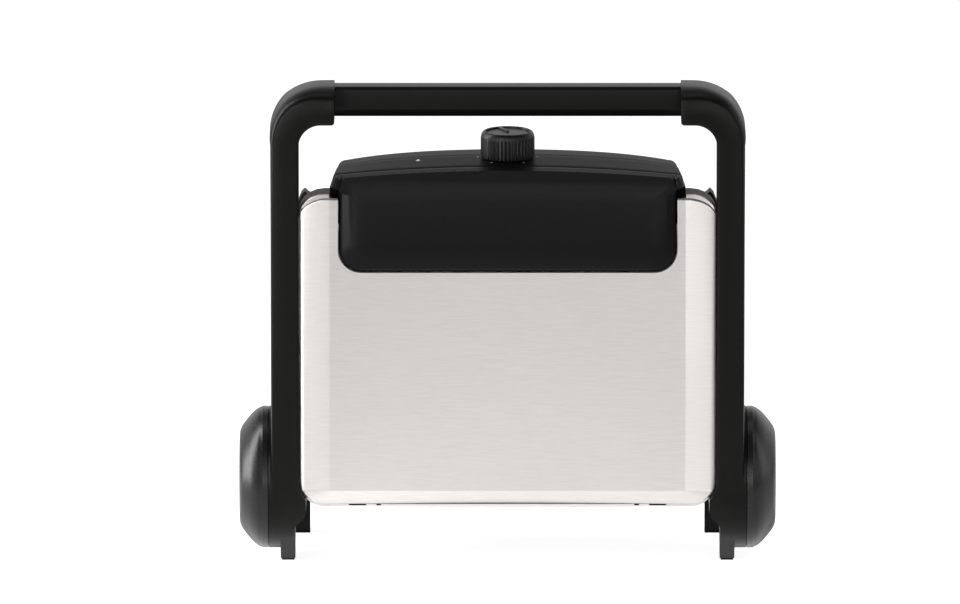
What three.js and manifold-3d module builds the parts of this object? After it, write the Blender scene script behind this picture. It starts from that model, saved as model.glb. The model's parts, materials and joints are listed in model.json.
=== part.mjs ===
// A contact grill in its upright storage position: it stands on its hinge end, with the handle on top.
// Millimetres. X runs to the right, Z up, and Y away from the lid's steel face. The front plane of the
// side arms is Y = 0 while the pieces are made, and the whole is centred on Y at the end.
import * as THREE from "three";
import { mergeVertices } from "three/addons/utils/BufferGeometryUtils.js";
import Module from "manifold-3d";

const wasm = await Module();
wasm.setup();

// Overall
const overallWidth = 380;
const overallDepth = 142;
const overallHeight = 347;

// Clearances and tool allowances
const gap = 0.3; // between pieces that touch
const runningClearance = 0.15; // radial, between a pin and its bush
const swingGap = 0.35; // between the lid and the arms beside it
const lidGap = 1.5; // between the closed lid and the base
const hingeGap = 0.6; // between the base and the hubs beside it
const handGap = 32.7; // under the handle
const overrun = 2; // how far a cutter runs past what it cuts
const weldDistance = 0.0001;

// Side arms and hinge hubs, from the outer faces inwards
const hub = {
  radius: 50.2,
  floorClearance: 8.1,
  capWidth: 20.8,
  capBandWidth: 4.1,
  capCreaseDrop: 0.6,
  capFaceDrop: 20.7,
  capLeanDegrees: 20,
  wall: 2.6,
  bossStep: 4.8,
  webReach: 5,
  cavityRim: 11.2,
};
hub.y = hub.radius;
hub.z = hub.radius + hub.floorClearance;
hub.cavityRadius = hub.radius - hub.cavityRim;
hub.armBandEnd = overallWidth / 2 - hub.capWidth - gap;
const arm = {
  width: 19.75,
  bandInset: 1.95,
  depth: 41,
  lowExtraDepth: 3,
  flareRadius: 45,
  flareFrontY: 20,
};
arm.innerX = hub.armBandEnd - arm.bandInset - arm.width;
arm.lowDepth = arm.depth + arm.lowExtraDepth;
hub.bossInner = arm.innerX - hub.bossStep;
hub.webEnd = arm.innerX + hub.webReach;
const elbow = {
  reach: 25.35,
  height: 25.3,
  cornerWidth: 24.6,
  shoulderWidth: 19.95,
  innerRadius: 15.6,
  straightenLength: 70,
  rounding: { end: 7.5, corner: 5.7, shoulder: 2.4, arm: 1.4 },
  roundingDepth: { end: 20, corner: 14, shoulder: 8, arm: 5 },
  rearRounding: 3,
};
elbow.endX = arm.innerX - elbow.reach;
elbow.bottomZ = overallHeight - elbow.height;
const tab = {
  setIn: 2.9,
  width: 10.35,
  frontOffset: 10.2,
  footLength: 12,
  curveDrop: 31.5,
  curveHeight: 17,
  padThickness: 1.5,
  padInset: 0.7,
};
tab.innerX = arm.innerX + tab.setIn;
tab.outerX = tab.innerX + tab.width;
tab.frontY = hub.y - tab.frontOffset;
tab.curveBottomZ = hub.z - tab.curveDrop;
tab.curveTopZ = tab.curveBottomZ + tab.curveHeight;
const bar = {
  frontY: 20,
  rearInset: 2,
  topInset: 1.65,
  bottomInset: 2.05,
  frontTopChamfer: 1.8,
  frontBottomChamfer: 4.1,
  frontBottomRise: 6.3,
  rearChamfer: 2.5,
  tenonLength: 12,
  tenonInset: 3,
};
bar.depth = arm.depth - bar.rearInset - bar.frontY;
bar.topZ = overallHeight - bar.topInset;
bar.height = elbow.height - bar.topInset - bar.bottomInset;

// Hinge hardware on the hub axis
const pin = { radius: 5, headRim: 3, headThickness: 3, reach: 11 };
pin.headRadius = pin.radius + pin.headRim;
pin.endX = hub.webEnd + pin.reach;
const bush = { radius: pin.radius + pin.headRim - 1 };
const washer = { radius: 13, thickness: 1.5 };
const nut = { rim: 4, thickness: 7 };
nut.radius = pin.radius + nut.rim;

// Lid
const cover = {
  hubLap: 12.5,
  topRound: 18,
  topRise: 14.5,
  bottomRound: 18,
  flangeY: 7.5,
  sideY: 5,
  centreY: 3,
  foldInset: 21.5,
  sheet: 0.8,
  slotSpans: [
    [34.9, 47],
    [54.2, 57.4],
  ],
};
cover.halfWidth = arm.innerX - swingGap;
cover.foldX = cover.halfWidth - cover.foldInset;
cover.bottomZ = hub.z - cover.hubLap;
const face = {
  halfWidth: cover.halfWidth,
  topInset: 2.6,
  bottomInset: 1.9,
  topRound: 20.9,
  topRise: 13.9,
  bottomRound: 18.6,
  lowFoldHeight: 11,
  kneeHeight: 4.4,
  kneeY: 5,
};
face.bottomZ = cover.bottomZ + face.bottomInset;
const nose = {
  frontY: 0.4,
  backY: 8.6,
  seamY: 18.2,
  height: 72.9,
  riseAboveCover: 18.2,
  sideInset: 28.15,
  footFlare: 0.3,
  rearFlare: 6.5,
  sideLean: 2.2,
  bottomRound: 16.3,
  shoulderLift: 0.8,
  shoulderRound: 4,
  edgeRound: 2.6,
  wall: 2.4,
  screwInset: 27.9,
};
nose.topZ = elbow.bottomZ - handGap;
nose.bottomZ = nose.topZ - nose.height;
nose.topHalfWidth = cover.halfWidth - nose.sideInset;
nose.bottomHalfWidth = nose.topHalfWidth + nose.footFlare;
nose.rearHalfWidth = nose.topHalfWidth + nose.rearFlare;
cover.topZ = nose.topZ - nose.riseAboveCover;
face.topZ = cover.topZ - face.topInset;
nose.shoulderZ = cover.topZ + nose.shoulderLift;
const bow = { drop: 5.6, halfWidth: nose.topHalfWidth }; // the front of the grill arches towards its user
const lidFrame = {
  frontY: 10,
  rearStep: 3.5,
  sideGap: 0.1,
  bottomInset: 0.3,
  topInset: 2.8,
  middleDrop: 2,
  hingeNotchWidth: 14.2,
  hingeNotchHeight: 15.5,
  hingeNotchDepth: 16.2,
};
cover.rimEndY = lidFrame.frontY - gap;
lidFrame.backY = arm.depth + lidFrame.rearStep;
lidFrame.bottomZ = cover.bottomZ + lidFrame.bottomInset;
lidFrame.topZ = cover.topZ - lidFrame.topInset;
lidFrame.hingeNotchX = hub.bossInner - lidFrame.hingeNotchWidth;
lidFrame.hingeNotchTopZ = hub.z + lidFrame.hingeNotchHeight;
lidFrame.hingeNotchY = hub.y - lidFrame.hingeNotchDepth;
const plate = {
  sideInset: 17.2,
  hubRise: 17.5,
  topInset: 16,
  thickness: 5.7,
  ribHeight: 5,
  ribProud: 0.5,
  ribPitch: 12,
  ribBase: 6,
  ribTip: 3,
  cornerRadius: 12,
  ledgeWidth: 6,
  pocketGap: 0.4,
};
plate.halfWidth = cover.halfWidth - plate.sideInset;
plate.bottomZ = hub.z + plate.hubRise;
plate.topZ = lidFrame.topZ - plate.topInset;
nose.screwX = nose.topHalfWidth - nose.screwInset;
nose.screwZ = (plate.topZ + lidFrame.topZ) / 2;
const upperPlateBackY = lidFrame.backY - plate.thickness - plate.ribHeight + plate.ribProud;
const element = { radius: 3.2, sides: 6, steps: 32 };
const reflector = { sheet: 0.8, depth: 9, flange: 4.2, wallInset: 0.6 };
const float = { rearInset: 10, lowering: 9, pinRadius: 4, bushWall: 2, frameLap: 8, armLap: 12 };
float.y = arm.depth - float.rearInset;
float.z = (plate.bottomZ + plate.topZ) / 2 - float.lowering;
float.bushRadius = float.pinRadius + float.bushWall;
float.innerX = plate.halfWidth + float.frameLap;
float.outerX = arm.innerX + float.armLap;

// Base
const bottomCover = {
  thickness: 2.7,
  ventCount: 9,
  ventLength: 46,
  ventWidth: 3,
  ventPitch: 9,
  ventLowering: 14,
};
const leg = {
  depth: 13.7,
  width: 15.2,
  splay: 13.7,
  rise: 33.5,
  tongueWidth: 26.4,
  tongueInset: 0.2,
  splayDrop: 22.5,
  splayRise: 1.5,
  padThickness: 2,
};
const tub = {
  stepDepth: 21.8,
  stepRise: 1.5,
  sideInset: 1.2,
  waistClearance: 3.3,
  waistRise: 5,
  hubDrop: 23,
  topInset: 7.3,
  cornerRound: 17,
  sideDraft: 3,
  topDraft: 13,
  wall: 2.8,
  waistWall: 4.6,
  ledgeThickness: 2.7,
  earRim: 7,
  screwInset: 9.8,
};
leg.frontY = overallDepth - leg.depth;
tub.rimY = lidFrame.backY + lidGap;
tub.floorY = leg.frontY - gap - bottomCover.thickness - gap;
tub.stepY = hub.y + tub.stepDepth;
tub.stepZ = hub.z + tub.stepRise;
tub.halfWidth = cover.halfWidth - tub.sideInset;
tub.waistHalfWidth = hub.bossInner - hingeGap;
tub.waistBottomZ = hub.z + hub.radius + tub.waistClearance;
tub.waistTopZ = tub.waistBottomZ + tub.waistRise;
tub.bottomZ = hub.z - tub.hubDrop;
tub.topZ = cover.topZ - tub.topInset;
tub.earRadius = pin.radius + tub.earRim;
const lowerPlateBackY = tub.rimY + gap + plate.ribHeight + plate.thickness;
const deckY = lowerPlateBackY + gap + tub.ledgeThickness;
bottomCover.ventZ = (plate.bottomZ + plate.topZ) / 2 - bottomCover.ventLowering;
leg.outerX = tub.waistHalfWidth + leg.splay;
leg.innerX = leg.outerX - leg.width;
leg.tongueOuterX = tub.waistHalfWidth - leg.tongueInset;
leg.tongueX = leg.tongueOuterX - leg.tongueWidth;
leg.topZ = hub.z + leg.rise;
leg.splayBottomZ = hub.z - leg.splayDrop;
leg.splayTopZ = hub.z + leg.splayRise;
const frontFoot = {
  width: 26,
  tipInset: 1.95,
  reach: 5,
  length: 21.4,
  drop: 20.1,
  tipHeight: 4.95,
  bevelHeight: 12,
};
frontFoot.innerX = tub.halfWidth - frontFoot.width;
frontFoot.tipX = tub.halfWidth - frontFoot.tipInset;
frontFoot.outerX = tub.halfWidth + frontFoot.reach;
frontFoot.topZ = tub.topZ - frontFoot.drop;
frontFoot.bottomZ = frontFoot.topZ - frontFoot.length;
frontFoot.tipZ = frontFoot.topZ + frontFoot.tipHeight;
frontFoot.outerZ = frontFoot.bottomZ + frontFoot.bevelHeight;
const knobSetback = 3.5; // from the base's rim to the knob's axis
const knobAxisY = tub.rimY + knobSetback;
const console_ = {
  creaseSetback: 9,
  endInset: 17,
  endRound: 8,
  rearDrop: 4.4,
  footRise: 3.7,
  footGap: 0.4,
  wall: 2.5,
  narrowing: 4.4,
  rearRound: 3.5,
  leanHeight: 6.5,
  rearBow: 3.1,
  sideGrowth: 0.2,
};
console_.frontY = nose.seamY + gap;
console_.creaseY = knobAxisY + console_.creaseSetback;
console_.endY = tub.floorY - console_.endInset;
console_.rearY = console_.endY - console_.endRound;
console_.footZ = tub.topZ + console_.footRise;
console_.frontHalfWidth = nose.rearHalfWidth + console_.sideGrowth;
console_.rearHalfWidth = console_.frontHalfWidth - console_.narrowing;
const bracket = {
  inset: 0.3,
  thickness: 2,
  earInset: 1,
  floorInset: 13,
  bottomRise: 3.5,
  topRise: 41.5,
  neckRise: 13.5,
};
bracket.earRadius = tub.earRadius - bracket.earInset;
bracket.bottomY = tub.floorY - bracket.floorInset;
bracket.bottomZ = hub.z + bracket.bottomRise;
bracket.topZ = hub.z + bracket.topRise;
bracket.neckTopZ = hub.z + bracket.neckRise;
const screw = { radius: 1.8, headRim: 1.6, headThickness: 1.8, length: 9 };
screw.headRadius = screw.radius + screw.headRim;
const inlet = { x: 62, floorInset: 25, boreRadius: 3.6, wall: 3.4, reach: 6, collarRim: 2.5, collar: 2 };
inlet.y = tub.floorY - inlet.floorInset;
inlet.radius = inlet.boreRadius + inlet.wall;
inlet.collarRadius = inlet.radius + inlet.collarRim;
const terminal = { width: 34, depth: 16, height: 20, rise: 30.5 };
terminal.x = inlet.x;
terminal.bottomZ = tub.bottomZ + terminal.rise;

// Controls
const knob = {
  radius: 19.05,
  lift: 0.6,
  height: 18.6,
  ribCount: 44,
  ribDepth: 0.55,
  domeInset: 2.95,
  rim: 0.7,
  recessDepth: 2.2,
  wall: 1.5,
  cavityHeight: 11,
  socketWall: 1.9,
  domeHeight: 5.4,
};
const shaft = { radius: 3, drop: 4.4, seat: 8.9 };
knob.bottomZ = nose.topZ + knob.lift;
knob.rimRadius = knob.radius - knob.domeInset;
knob.recessRadius = knob.rimRadius - knob.rim;
knob.cavityRadius = knob.rimRadius - knob.wall;
knob.socketRadius = shaft.radius + gap + knob.socketWall;
shaft.bottomZ = nose.topZ - shaft.drop;
shaft.topZ = knob.bottomZ + shaft.seat;
const knobCap = {
  thickness: 1.4,
  ridgeWidth: 2.6,
  ridgeHeight: 0.9,
  pointerDegrees: 112,
  pointerStart: 2,
};
const thermostat = { radius: 13, height: 13.5, neckWall: 2.5 };
thermostat.neckRadius = shaft.radius + thermostat.neckWall;
const thermostatBracket = { width: 52, depth: 30, thickness: 1, legDrop: 12 };
const lens = { x: 63.1, setForward: 3, radius: 1.6, collarRim: 1, proud: 0.7, length: 8 };
lens.y = knobAxisY - lens.setForward;
lens.collarRadius = lens.radius + lens.collarRim;
const lamp = { radius: 3.4, height: 9 };

// Finishes
function finish(color, roughness, metalness) {
  return new THREE.MeshStandardMaterial({ color, roughness, metalness });
}
const blackPlastic = finish(0x222120, 0.42, 0);
const satinPlastic = finish(0x3a3a39, 0.5, 0);
const brushedSteel = finish(0xd2ccc8, 0.34, 1);
const zincSteel = finish(0x9a9c9e, 0.4, 1);
const castPlate = finish(0x1c1c1d, 0.6, 0.3);
const elementSteel = finish(0x55504c, 0.5, 1);
const rubber = finish(0x101010, 0.8, 0);
const ceramic = finish(0xe8e4da, 0.7, 0);
const nylon = finish(0xdcd8cc, 0.55, 0);
const lensClear = finish(0xe8e2dc, 0.15, 0);

// Solids from three.js geometry
function weld(geometry) {
  const bare = geometry.index ? geometry.clone() : mergeVertices(geometry);
  bare.deleteAttribute("normal");
  bare.deleteAttribute("uv");
  return mergeVertices(bare, weldDistance);
}

function signedVolume(positions, corners) {
  const [a, b, c] = [new THREE.Vector3(), new THREE.Vector3(), new THREE.Vector3()];
  let total = 0;
  for (let i = 0; i < corners.length; i += 3) {
    a.fromArray(positions, 3 * corners[i]);
    b.fromArray(positions, 3 * corners[i + 1]);
    c.fromArray(positions, 3 * corners[i + 2]);
    total += a.dot(b.cross(c));
  }
  return total;
}

function solid(geometry) {
  const welded = weld(geometry);
  const positions = welded.attributes.position.array;
  const corners = [];
  const index = welded.index.array;
  for (let i = 0; i < index.length; i += 3) {
    const [a, b, c] = [index[i], index[i + 1], index[i + 2]];
    if (a !== b && b !== c && c !== a) corners.push(a, b, c);
  }
  if (signedVolume(positions, corners) < 0) corners.reverse();
  const mesh = new wasm.Mesh({
    numProp: 3,
    vertProperties: new Float32Array(positions),
    triVerts: new Uint32Array(corners),
  });
  return new wasm.Manifold(mesh);
}

function cut(body, ...tools) {
  return tools.reduce((rest, tool) => rest.subtract(tool), body);
}

function join(...bodies) {
  return bodies.reduce((all, body) => all.add(body));
}

function common(...bodies) {
  return bodies.reduce((all, body) => all.intersect(body));
}

function geometryOf(body) {
  const made = body.getMesh();
  const geometry = new THREE.BufferGeometry();
  geometry.setAttribute("position", new THREE.BufferAttribute(made.vertProperties, 3));
  geometry.setIndex(new THREE.BufferAttribute(made.triVerts, 1));
  geometry.computeVertexNormals();
  return geometry;
}

// An outline is a list of [u, v] points or a THREE.Shape.
function shapeOf(outline) {
  return Array.isArray(outline) ? new THREE.Shape(outline.map(([u, v]) => new THREE.Vector2(u, v))) : outline;
}

function extruded(outline, length, curveSegments) {
  return new THREE.ExtrudeGeometry(shapeOf(outline), { depth: length, bevelEnabled: false, curveSegments });
}

const roundSegments = 10;
const smallSides = 12;
const roundSides = 16;
const broadSides = 28;
const hubSides = 36;
const knobSides = 48;

// An outline in Y and Z, drawn out along X.
function alongX(outline, from, to) {
  const geometry = extruded(outline, to - from, roundSegments);
  const turn = new THREE.Matrix4().set(0, 0, 1, from, 1, 0, 0, 0, 0, 1, 0, 0, 0, 0, 0, 1);
  return solid(geometry.applyMatrix4(turn));
}

// An outline in X and Z, drawn out along Y.
function alongY(outline, from, to) {
  const geometry = extruded(outline, to - from, roundSegments);
  const turn = new THREE.Matrix4().set(1, 0, 0, 0, 0, 0, -1, to, 0, 1, 0, 0, 0, 0, 0, 1);
  return solid(geometry.applyMatrix4(turn));
}

// An outline in X and Y, drawn out along Z.
function alongZ(outline, from, to) {
  return solid(extruded(outline, to - from, roundSegments).translate(0, 0, from));
}

function block([x0, x1], [y0, y1], [z0, z1]) {
  const geometry = new THREE.BoxGeometry(x1 - x0, y1 - y0, z1 - z0);
  return solid(geometry.translate((x0 + x1) / 2, (y0 + y1) / 2, (z0 + z1) / 2));
}

function turned(profile, sides) {
  const points = profile.map(([radius, along]) => new THREE.Vector2(radius, along));
  return new THREE.LatheGeometry(points, sides);
}

// A profile of [radius, place] pairs turned about a line along X, Y or Z.
function turnedX(profile, y, z, sides = roundSides) {
  return solid(turned(profile, sides).rotateZ(-Math.PI / 2).translate(0, y, z));
}

function turnedY(profile, x, z, sides = roundSides) {
  return solid(turned(profile, sides).translate(x, 0, z));
}

function turnedZ(profile, x, y, sides = roundSides) {
  return solid(turned(profile, sides).rotateX(Math.PI / 2).translate(x, y, 0));
}

function rodProfile(radius, from, to) {
  return [[0, from], [radius, from], [radius, to], [0, to]];
}

function rodX(radius, from, to, y, z, sides = roundSides) {
  return turnedX(rodProfile(radius, from, to), y, z, sides);
}

function rodY(radius, from, to, x, z, sides = roundSides) {
  return turnedY(rodProfile(radius, from, to), x, z, sides);
}

function rodZ(radius, from, to, x, y, sides = roundSides) {
  return turnedZ(rodProfile(radius, from, to), x, y, sides);
}

// A skin over rings of [x, y, z] points, each ring with as many points, and flat ends.
function loft(rings) {
  const count = rings[0].length;
  const sumAlong = (ring, axis) => ring.reduce((sum, point) => sum + point[axis], 0);
  const middle = (ring) => ring[0].map((_, axis) => sumAlong(ring, axis) / count);
  const last = rings.length - 1;
  const points = [...rings.flat(), middle(rings[0]), middle(rings[last])];
  const startCentre = count * rings.length;
  const corners = [];
  for (let side = 0; side < count; side += 1) {
    const next = (side + 1) % count;
    for (let row = 0; row < last; row += 1) {
      const [low, high] = [row * count, (row + 1) * count];
      corners.push(low + side, low + next, high + next, low + side, high + next, high + side);
    }
    corners.push(startCentre, next, side);
    corners.push(startCentre + 1, last * count + side, last * count + next);
  }
  const geometry = new THREE.BufferGeometry();
  geometry.setAttribute("position", new THREE.Float32BufferAttribute(points.flat(), 3));
  geometry.setIndex(corners);
  return solid(geometry);
}

function mix(a, b, share) {
  return a + (b - a) * share;
}

// Two places in rising order, and a span along X on the right (side 1) or mirrored to the left (side -1)
function inOrder(a, b) {
  return [Math.min(a, b), Math.max(a, b)];
}

function onSide(side, from, to) {
  return inOrder(side * from, side * to);
}

// Points of an elliptical quarter turn about (u, v), from a quarter number to the next.
function quarter(u, v, radiusU, radiusV, start, steps = 5) {
  return Array.from({ length: steps + 1 }, (_, i) => {
    const angle = ((start + i / steps) * Math.PI) / 2;
    return [u + radiusU * Math.cos(angle), v + radiusV * Math.sin(angle)];
  });
}

function bothSides(rightHalf) {
  return [...rightHalf, ...rightHalf.map(([x, z]) => [-x, z]).reverse()];
}

// A plate outline in X and Z with rounded corners, drawn in by an inset.
function plateOutline({ halfWidth, bottomZ, topZ, topRound, topRise, bottomRound }, inset = 0) {
  const low = Math.max(bottomRound - inset, gap);
  const side = Math.max(topRound - inset, gap);
  const rise = Math.max(topRise - inset, gap);
  const x = halfWidth - inset;
  return bothSides([
    ...quarter(x - low, bottomZ + inset + low, low, low, -1),
    ...quarter(x - side, topZ - inset - rise, side, rise, 0),
  ]);
}

// The pieces, each a named mesh in the group of its moving body
const grill = new THREE.Group();
grill.name = "contact_grill";
grill.position.y = -overallDepth / 2;

function piece(name, body, material) {
  const mesh = new THREE.Mesh(geometryOf(body), material);
  mesh.name = name;
  grill.add(mesh);
  return mesh;
}

// The right-hand piece and its mirror image.
function pair(name, body, material) {
  piece("right_" + name, body, material);
  piece("left_" + name, body, material).scale.x = -1;
}

// Steel lid cover: a pressed face with bent sides and a bent foot, in a narrow flange above and below it
function coverSkin(inset) {
  const y = (place) => place + inset;
  const rimEnd = cover.rimEndY + (inset ? overrun : 0);
  const flange = alongY(plateOutline(cover, inset), y(cover.flangeY), rimEnd);
  const raised = alongY(plateOutline(face, inset), cover.centreY - overrun, y(cover.flangeY) + overrun);
  const back = y(cover.flangeY) + (inset ? overrun : gap);
  const foldX = cover.halfWidth - cover.foldInset;
  const bentSides = alongZ(
    [
      [-cover.halfWidth, y(cover.sideY)],
      [-foldX, y(cover.centreY)],
      [foldX, y(cover.centreY)],
      [cover.halfWidth, y(cover.sideY)],
      [cover.halfWidth, back],
      [-cover.halfWidth, back],
    ],
    cover.bottomZ - overrun,
    cover.topZ + overrun,
  );
  const bentFoot = alongX(
    [
      [y(cover.centreY), cover.topZ],
      [y(cover.centreY), face.bottomZ + face.lowFoldHeight],
      [y(face.kneeY), face.bottomZ + face.kneeHeight],
      [y(cover.flangeY), face.bottomZ],
      [back, face.bottomZ],
      [back, cover.topZ],
    ],
    -cover.halfWidth,
    cover.halfWidth,
  );
  return join(flange, common(raised, bentSides, bentFoot));
}

// How far the arched front has dropped at a place to the side
function bowAt(x) {
  return bow.drop * (x / bow.halfWidth) ** 2;
}

// The nose outline in X and Z, whose top edge arches up to the middle
function archedTop(halfWidth, topZ, round, extraBow = 0) {
  const steps = 5;
  const shares = Array.from({ length: steps }, (_, i) => 1 - (i + 1) / (steps + 0.5));
  const height = (x) => topZ - bowAt(x) - extraBow * (x / bow.halfWidth) ** 4;
  const shoulder = halfWidth - round;
  const side = quarter(shoulder, height(shoulder) - round, round, round, 0, 3);
  return [...side, ...shares.map((share) => [shoulder * share, height(shoulder * share)])];
}

function noseRing(y, inset, grow = 0) {
  const low = nose.bottomRound;
  const half = nose.bottomHalfWidth - inset + grow;
  const foot = quarter(half - low, nose.bottomZ + inset - grow + low, low, low, -1, 4);
  const head = archedTop(nose.topHalfWidth - inset + grow, nose.topZ - inset + grow, nose.edgeRound);
  return bothSides([...foot, ...head]).map(([x, z]) => [x, y, z]);
}

function upperNoseRing(y, inset, openFoot = 0) {
  const share = (y - nose.edgeRound) / (nose.seamY - nose.edgeRound);
  const half = mix(nose.topHalfWidth, nose.rearHalfWidth, share) - inset;
  const round = nose.shoulderRound;
  const foot = quarter(half - round, nose.shoulderZ + inset - openFoot + round, round, round, -1, 3);
  const head = archedTop(half - nose.sideLean, nose.topZ - inset, nose.edgeRound);
  return bothSides([...foot, ...head]).map(([x, z]) => [x, y, z]);
}

function makeCover() {
  const through = [-overrun, cover.rimEndY + overrun];
  const panel = noseRing(0, -gap - gap).map(([x, , z]) => [x, z]);
  const panelCut = alongY(panel, ...through);
  const half = console_.frontHalfWidth + gap;
  const flangeCut = block([-half, half], through, [face.topZ, nose.topZ + overrun]);
  const slots = [-1, 1].flatMap((side) =>
    cover.slotSpans.map(([from, to]) => {
      const across = onSide(side, cover.halfWidth - to, cover.halfWidth - from);
      return block(across, through, [cover.bottomZ - overrun, face.bottomZ]);
    }),
  );
  return cut(coverSkin(0), coverSkin(cover.sheet), panelCut, flangeCut, ...slots);
}

function makeNose() {
  const round = nose.edgeRound;
  const panel = loft([
    noseRing(nose.frontY, round),
    noseRing(nose.frontY + round / 4, round / 3),
    noseRing(nose.frontY + round, 0),
    noseRing(nose.backY, 0),
  ]);
  const upper = loft([upperNoseRing(round, 0), upperNoseRing(nose.seamY, 0)]);
  const inside = loft([
    upperNoseRing(round + nose.wall, nose.wall),
    upperNoseRing(nose.seamY + overrun, nose.wall),
  ]);
  const panelInside = loft([
    noseRing(nose.frontY + nose.wall + round / 2, nose.wall),
    noseRing(nose.backY + overrun, nose.wall),
  ]);
  const posts = [-nose.screwX, nose.screwX].map((x) =>
    rodY(screw.headRadius + screw.radius, nose.frontY + nose.wall, lidFrame.frontY - gap, x, nose.screwZ),
  );
  const holeFrom = nose.backY - screw.length / 2;
  const holes = [-nose.screwX, nose.screwX].map((x) =>
    rodY(screw.radius + gap, holeFrom, lidFrame.frontY + overrun, x, nose.screwZ, smallSides),
  );
  const wallBehindPanel = block(
    [-nose.topHalfWidth, nose.topHalfWidth],
    [nose.backY - nose.wall, nose.backY],
    [cover.topZ - nose.wall, nose.shoulderZ + nose.wall],
  );
  const shell = join(cut(join(panel, upper), inside, panelInside), common(wallBehindPanel, panel));
  return cut(join(shell, ...posts), ...holes);
}

// The lid's black inner frame, open in the middle, with a pocket for the grill plate
const lidFrameOutline = {
  halfWidth: cover.halfWidth - lidFrame.sideGap,
  bottomZ: lidFrame.bottomZ,
  topZ: lidFrame.topZ,
  topRound: cover.topRound,
  topRise: cover.topRise,
  bottomRound: cover.bottomRound,
};
const pocketOutline = {
  halfWidth: plate.halfWidth + plate.pocketGap,
  bottomZ: plate.bottomZ - plate.pocketGap,
  topZ: plate.topZ + plate.pocketGap,
  topRound: plate.cornerRadius,
  topRise: plate.cornerRadius,
  bottomRound: plate.cornerRadius,
};

const screwSeatY = lidFrame.frontY + screw.length / 2;

function makeLidFrame() {
  const body = alongY(plateOutline(lidFrameOutline), lidFrame.frontY, lidFrame.backY);
  const half = console_.frontHalfWidth + gap;
  const middleCut = block(
    [-half, half],
    [lidFrame.frontY - overrun, lidFrame.backY + overrun],
    [lidFrame.topZ - lidFrame.middleDrop, lidFrame.topZ + overrun],
  );
  const ledgeY = upperPlateBackY - gap;
  const opening = alongY(
    plateOutline(pocketOutline, plate.ledgeWidth + plate.pocketGap),
    lidFrame.frontY - overrun,
    lidFrame.backY + overrun,
  );
  const pocket = alongY(plateOutline(pocketOutline), ledgeY, lidFrame.backY + overrun);
  const notches = [-1, 1].map((side) =>
    block(
      onSide(side, lidFrame.hingeNotchX, cover.halfWidth + overrun),
      [lidFrame.hingeNotchY, lidFrame.backY + overrun],
      [lidFrame.bottomZ - overrun, lidFrame.hingeNotchTopZ],
    ),
  );
  const bores = [-1, 1].map((side) =>
    rodX(
      float.bushRadius + gap,
      ...onSide(side, float.innerX - gap, cover.halfWidth + overrun),
      float.y,
      float.z,
    ),
  );
  const screwHoles = [-nose.screwX, nose.screwX].flatMap((x) => [
    rodY(screw.radius + gap, lidFrame.frontY - overrun, lidFrame.backY + overrun, x, nose.screwZ, smallSides),
    rodY(screw.headRadius + gap, screwSeatY, lidFrame.backY + overrun, x, nose.screwZ),
  ]);
  return cut(body, opening, pocket, middleCut, ...notches, ...bores, ...screwHoles);
}

// A grill plate with ribs that run from the hinge end to the front
function makePlate(backY, towards) {
  const body = plate.thickness;
  const count = Math.floor((plate.halfWidth - plate.ribPitch / 2) / plate.ribPitch);
  const face = backY + towards * body;
  const tip = face + towards * plate.ribHeight;
  const ribs = [];
  for (let i = -count; i <= count; i += 1) {
    const x = i * plate.ribPitch;
    ribs.push(
      [x - plate.ribBase / 2, face],
      [x - plate.ribTip / 2, tip],
      [x + plate.ribTip / 2, tip],
      [x + plate.ribBase / 2, face],
    );
  }
  const section = [
    [-plate.halfWidth, backY],
    [-plate.halfWidth, face],
    ...ribs,
    [plate.halfWidth, face],
    [plate.halfWidth, backY],
  ];
  const low = Math.min(backY, tip) - overrun;
  const high = Math.max(backY, tip) + overrun;
  const outline = plateOutline(pocketOutline, plate.pocketGap);
  const rimless = alongZ(section, plate.bottomZ, plate.topZ);
  return common(rimless, alongY(outline, low, high));
}

// A bent tubular heating element, lying on the back of its plate
const elementShares = [
  [-0.12, 0.1],
  [-0.12, 0.34],
  [-0.2, 0.48],
  [-0.38, 0.48],
  [-0.46, 0.34],
  [-0.46, 0.16],
  [-0.62, 0.1],
  [-0.76, 0.2],
  [-0.8, 0.5],
  [-0.76, 0.78],
  [-0.6, 0.88],
  [-0.3, 0.89],
  [0, 0.89],
];

function makeElement(centreY) {
  const height = plate.topZ - plate.bottomZ;
  const half = elementShares.map(([x, z]) => [x * plate.halfWidth, plate.bottomZ + z * height]);
  const other = half.slice(0, -1).map(([x, z]) => [-x, z]);
  const points = [...half, ...other.reverse()].map(([x, z]) => new THREE.Vector3(x, centreY, z));
  const path = new THREE.CatmullRomCurve3(points, false, "centripetal");
  const ring = Array.from({ length: element.sides }, (_, i) => {
    const angle = (2 * Math.PI * i) / element.sides;
    return new THREE.Vector2(element.radius * Math.cos(angle), element.radius * Math.sin(angle));
  });
  const options = { steps: element.steps, extrudePath: path, bevelEnabled: false };
  return solid(new THREE.ExtrudeGeometry(new THREE.Shape(ring), options));
}

// A shallow sheet tray behind the element, with a flange that lies on the housing
function makeReflector(flangeY, towards) {
  const wall = plate.ledgeWidth + reflector.wallInset + plate.pocketGap;
  const floorY = flangeY + towards * reflector.depth;
  const flangeOutline = plateOutline(pocketOutline, wall - reflector.flange);
  const flange = alongY(flangeOutline, ...inOrder(flangeY, flangeY - reflector.sheet));
  const pan = alongY(plateOutline(pocketOutline, wall), ...inOrder(flangeY - reflector.sheet, floorY));
  const hollow = alongY(
    plateOutline(pocketOutline, wall + reflector.sheet),
    ...(towards > 0
      ? [flangeY - reflector.sheet - overrun, floorY - reflector.sheet]
      : [floorY + reflector.sheet, flangeY + overrun + reflector.sheet]),
  );
  return cut(join(flange, pan), hollow);
}

// Arms: stations from the elbow's end round the corner and down to the hub. A stage counts through the
// four sections of the elbow tables: 0 at the end, 1 in the corner, 2 at the shoulder, 3 along the arm.
const turnStages = { first: 0.2, last: 2, steps: 8 };

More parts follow.
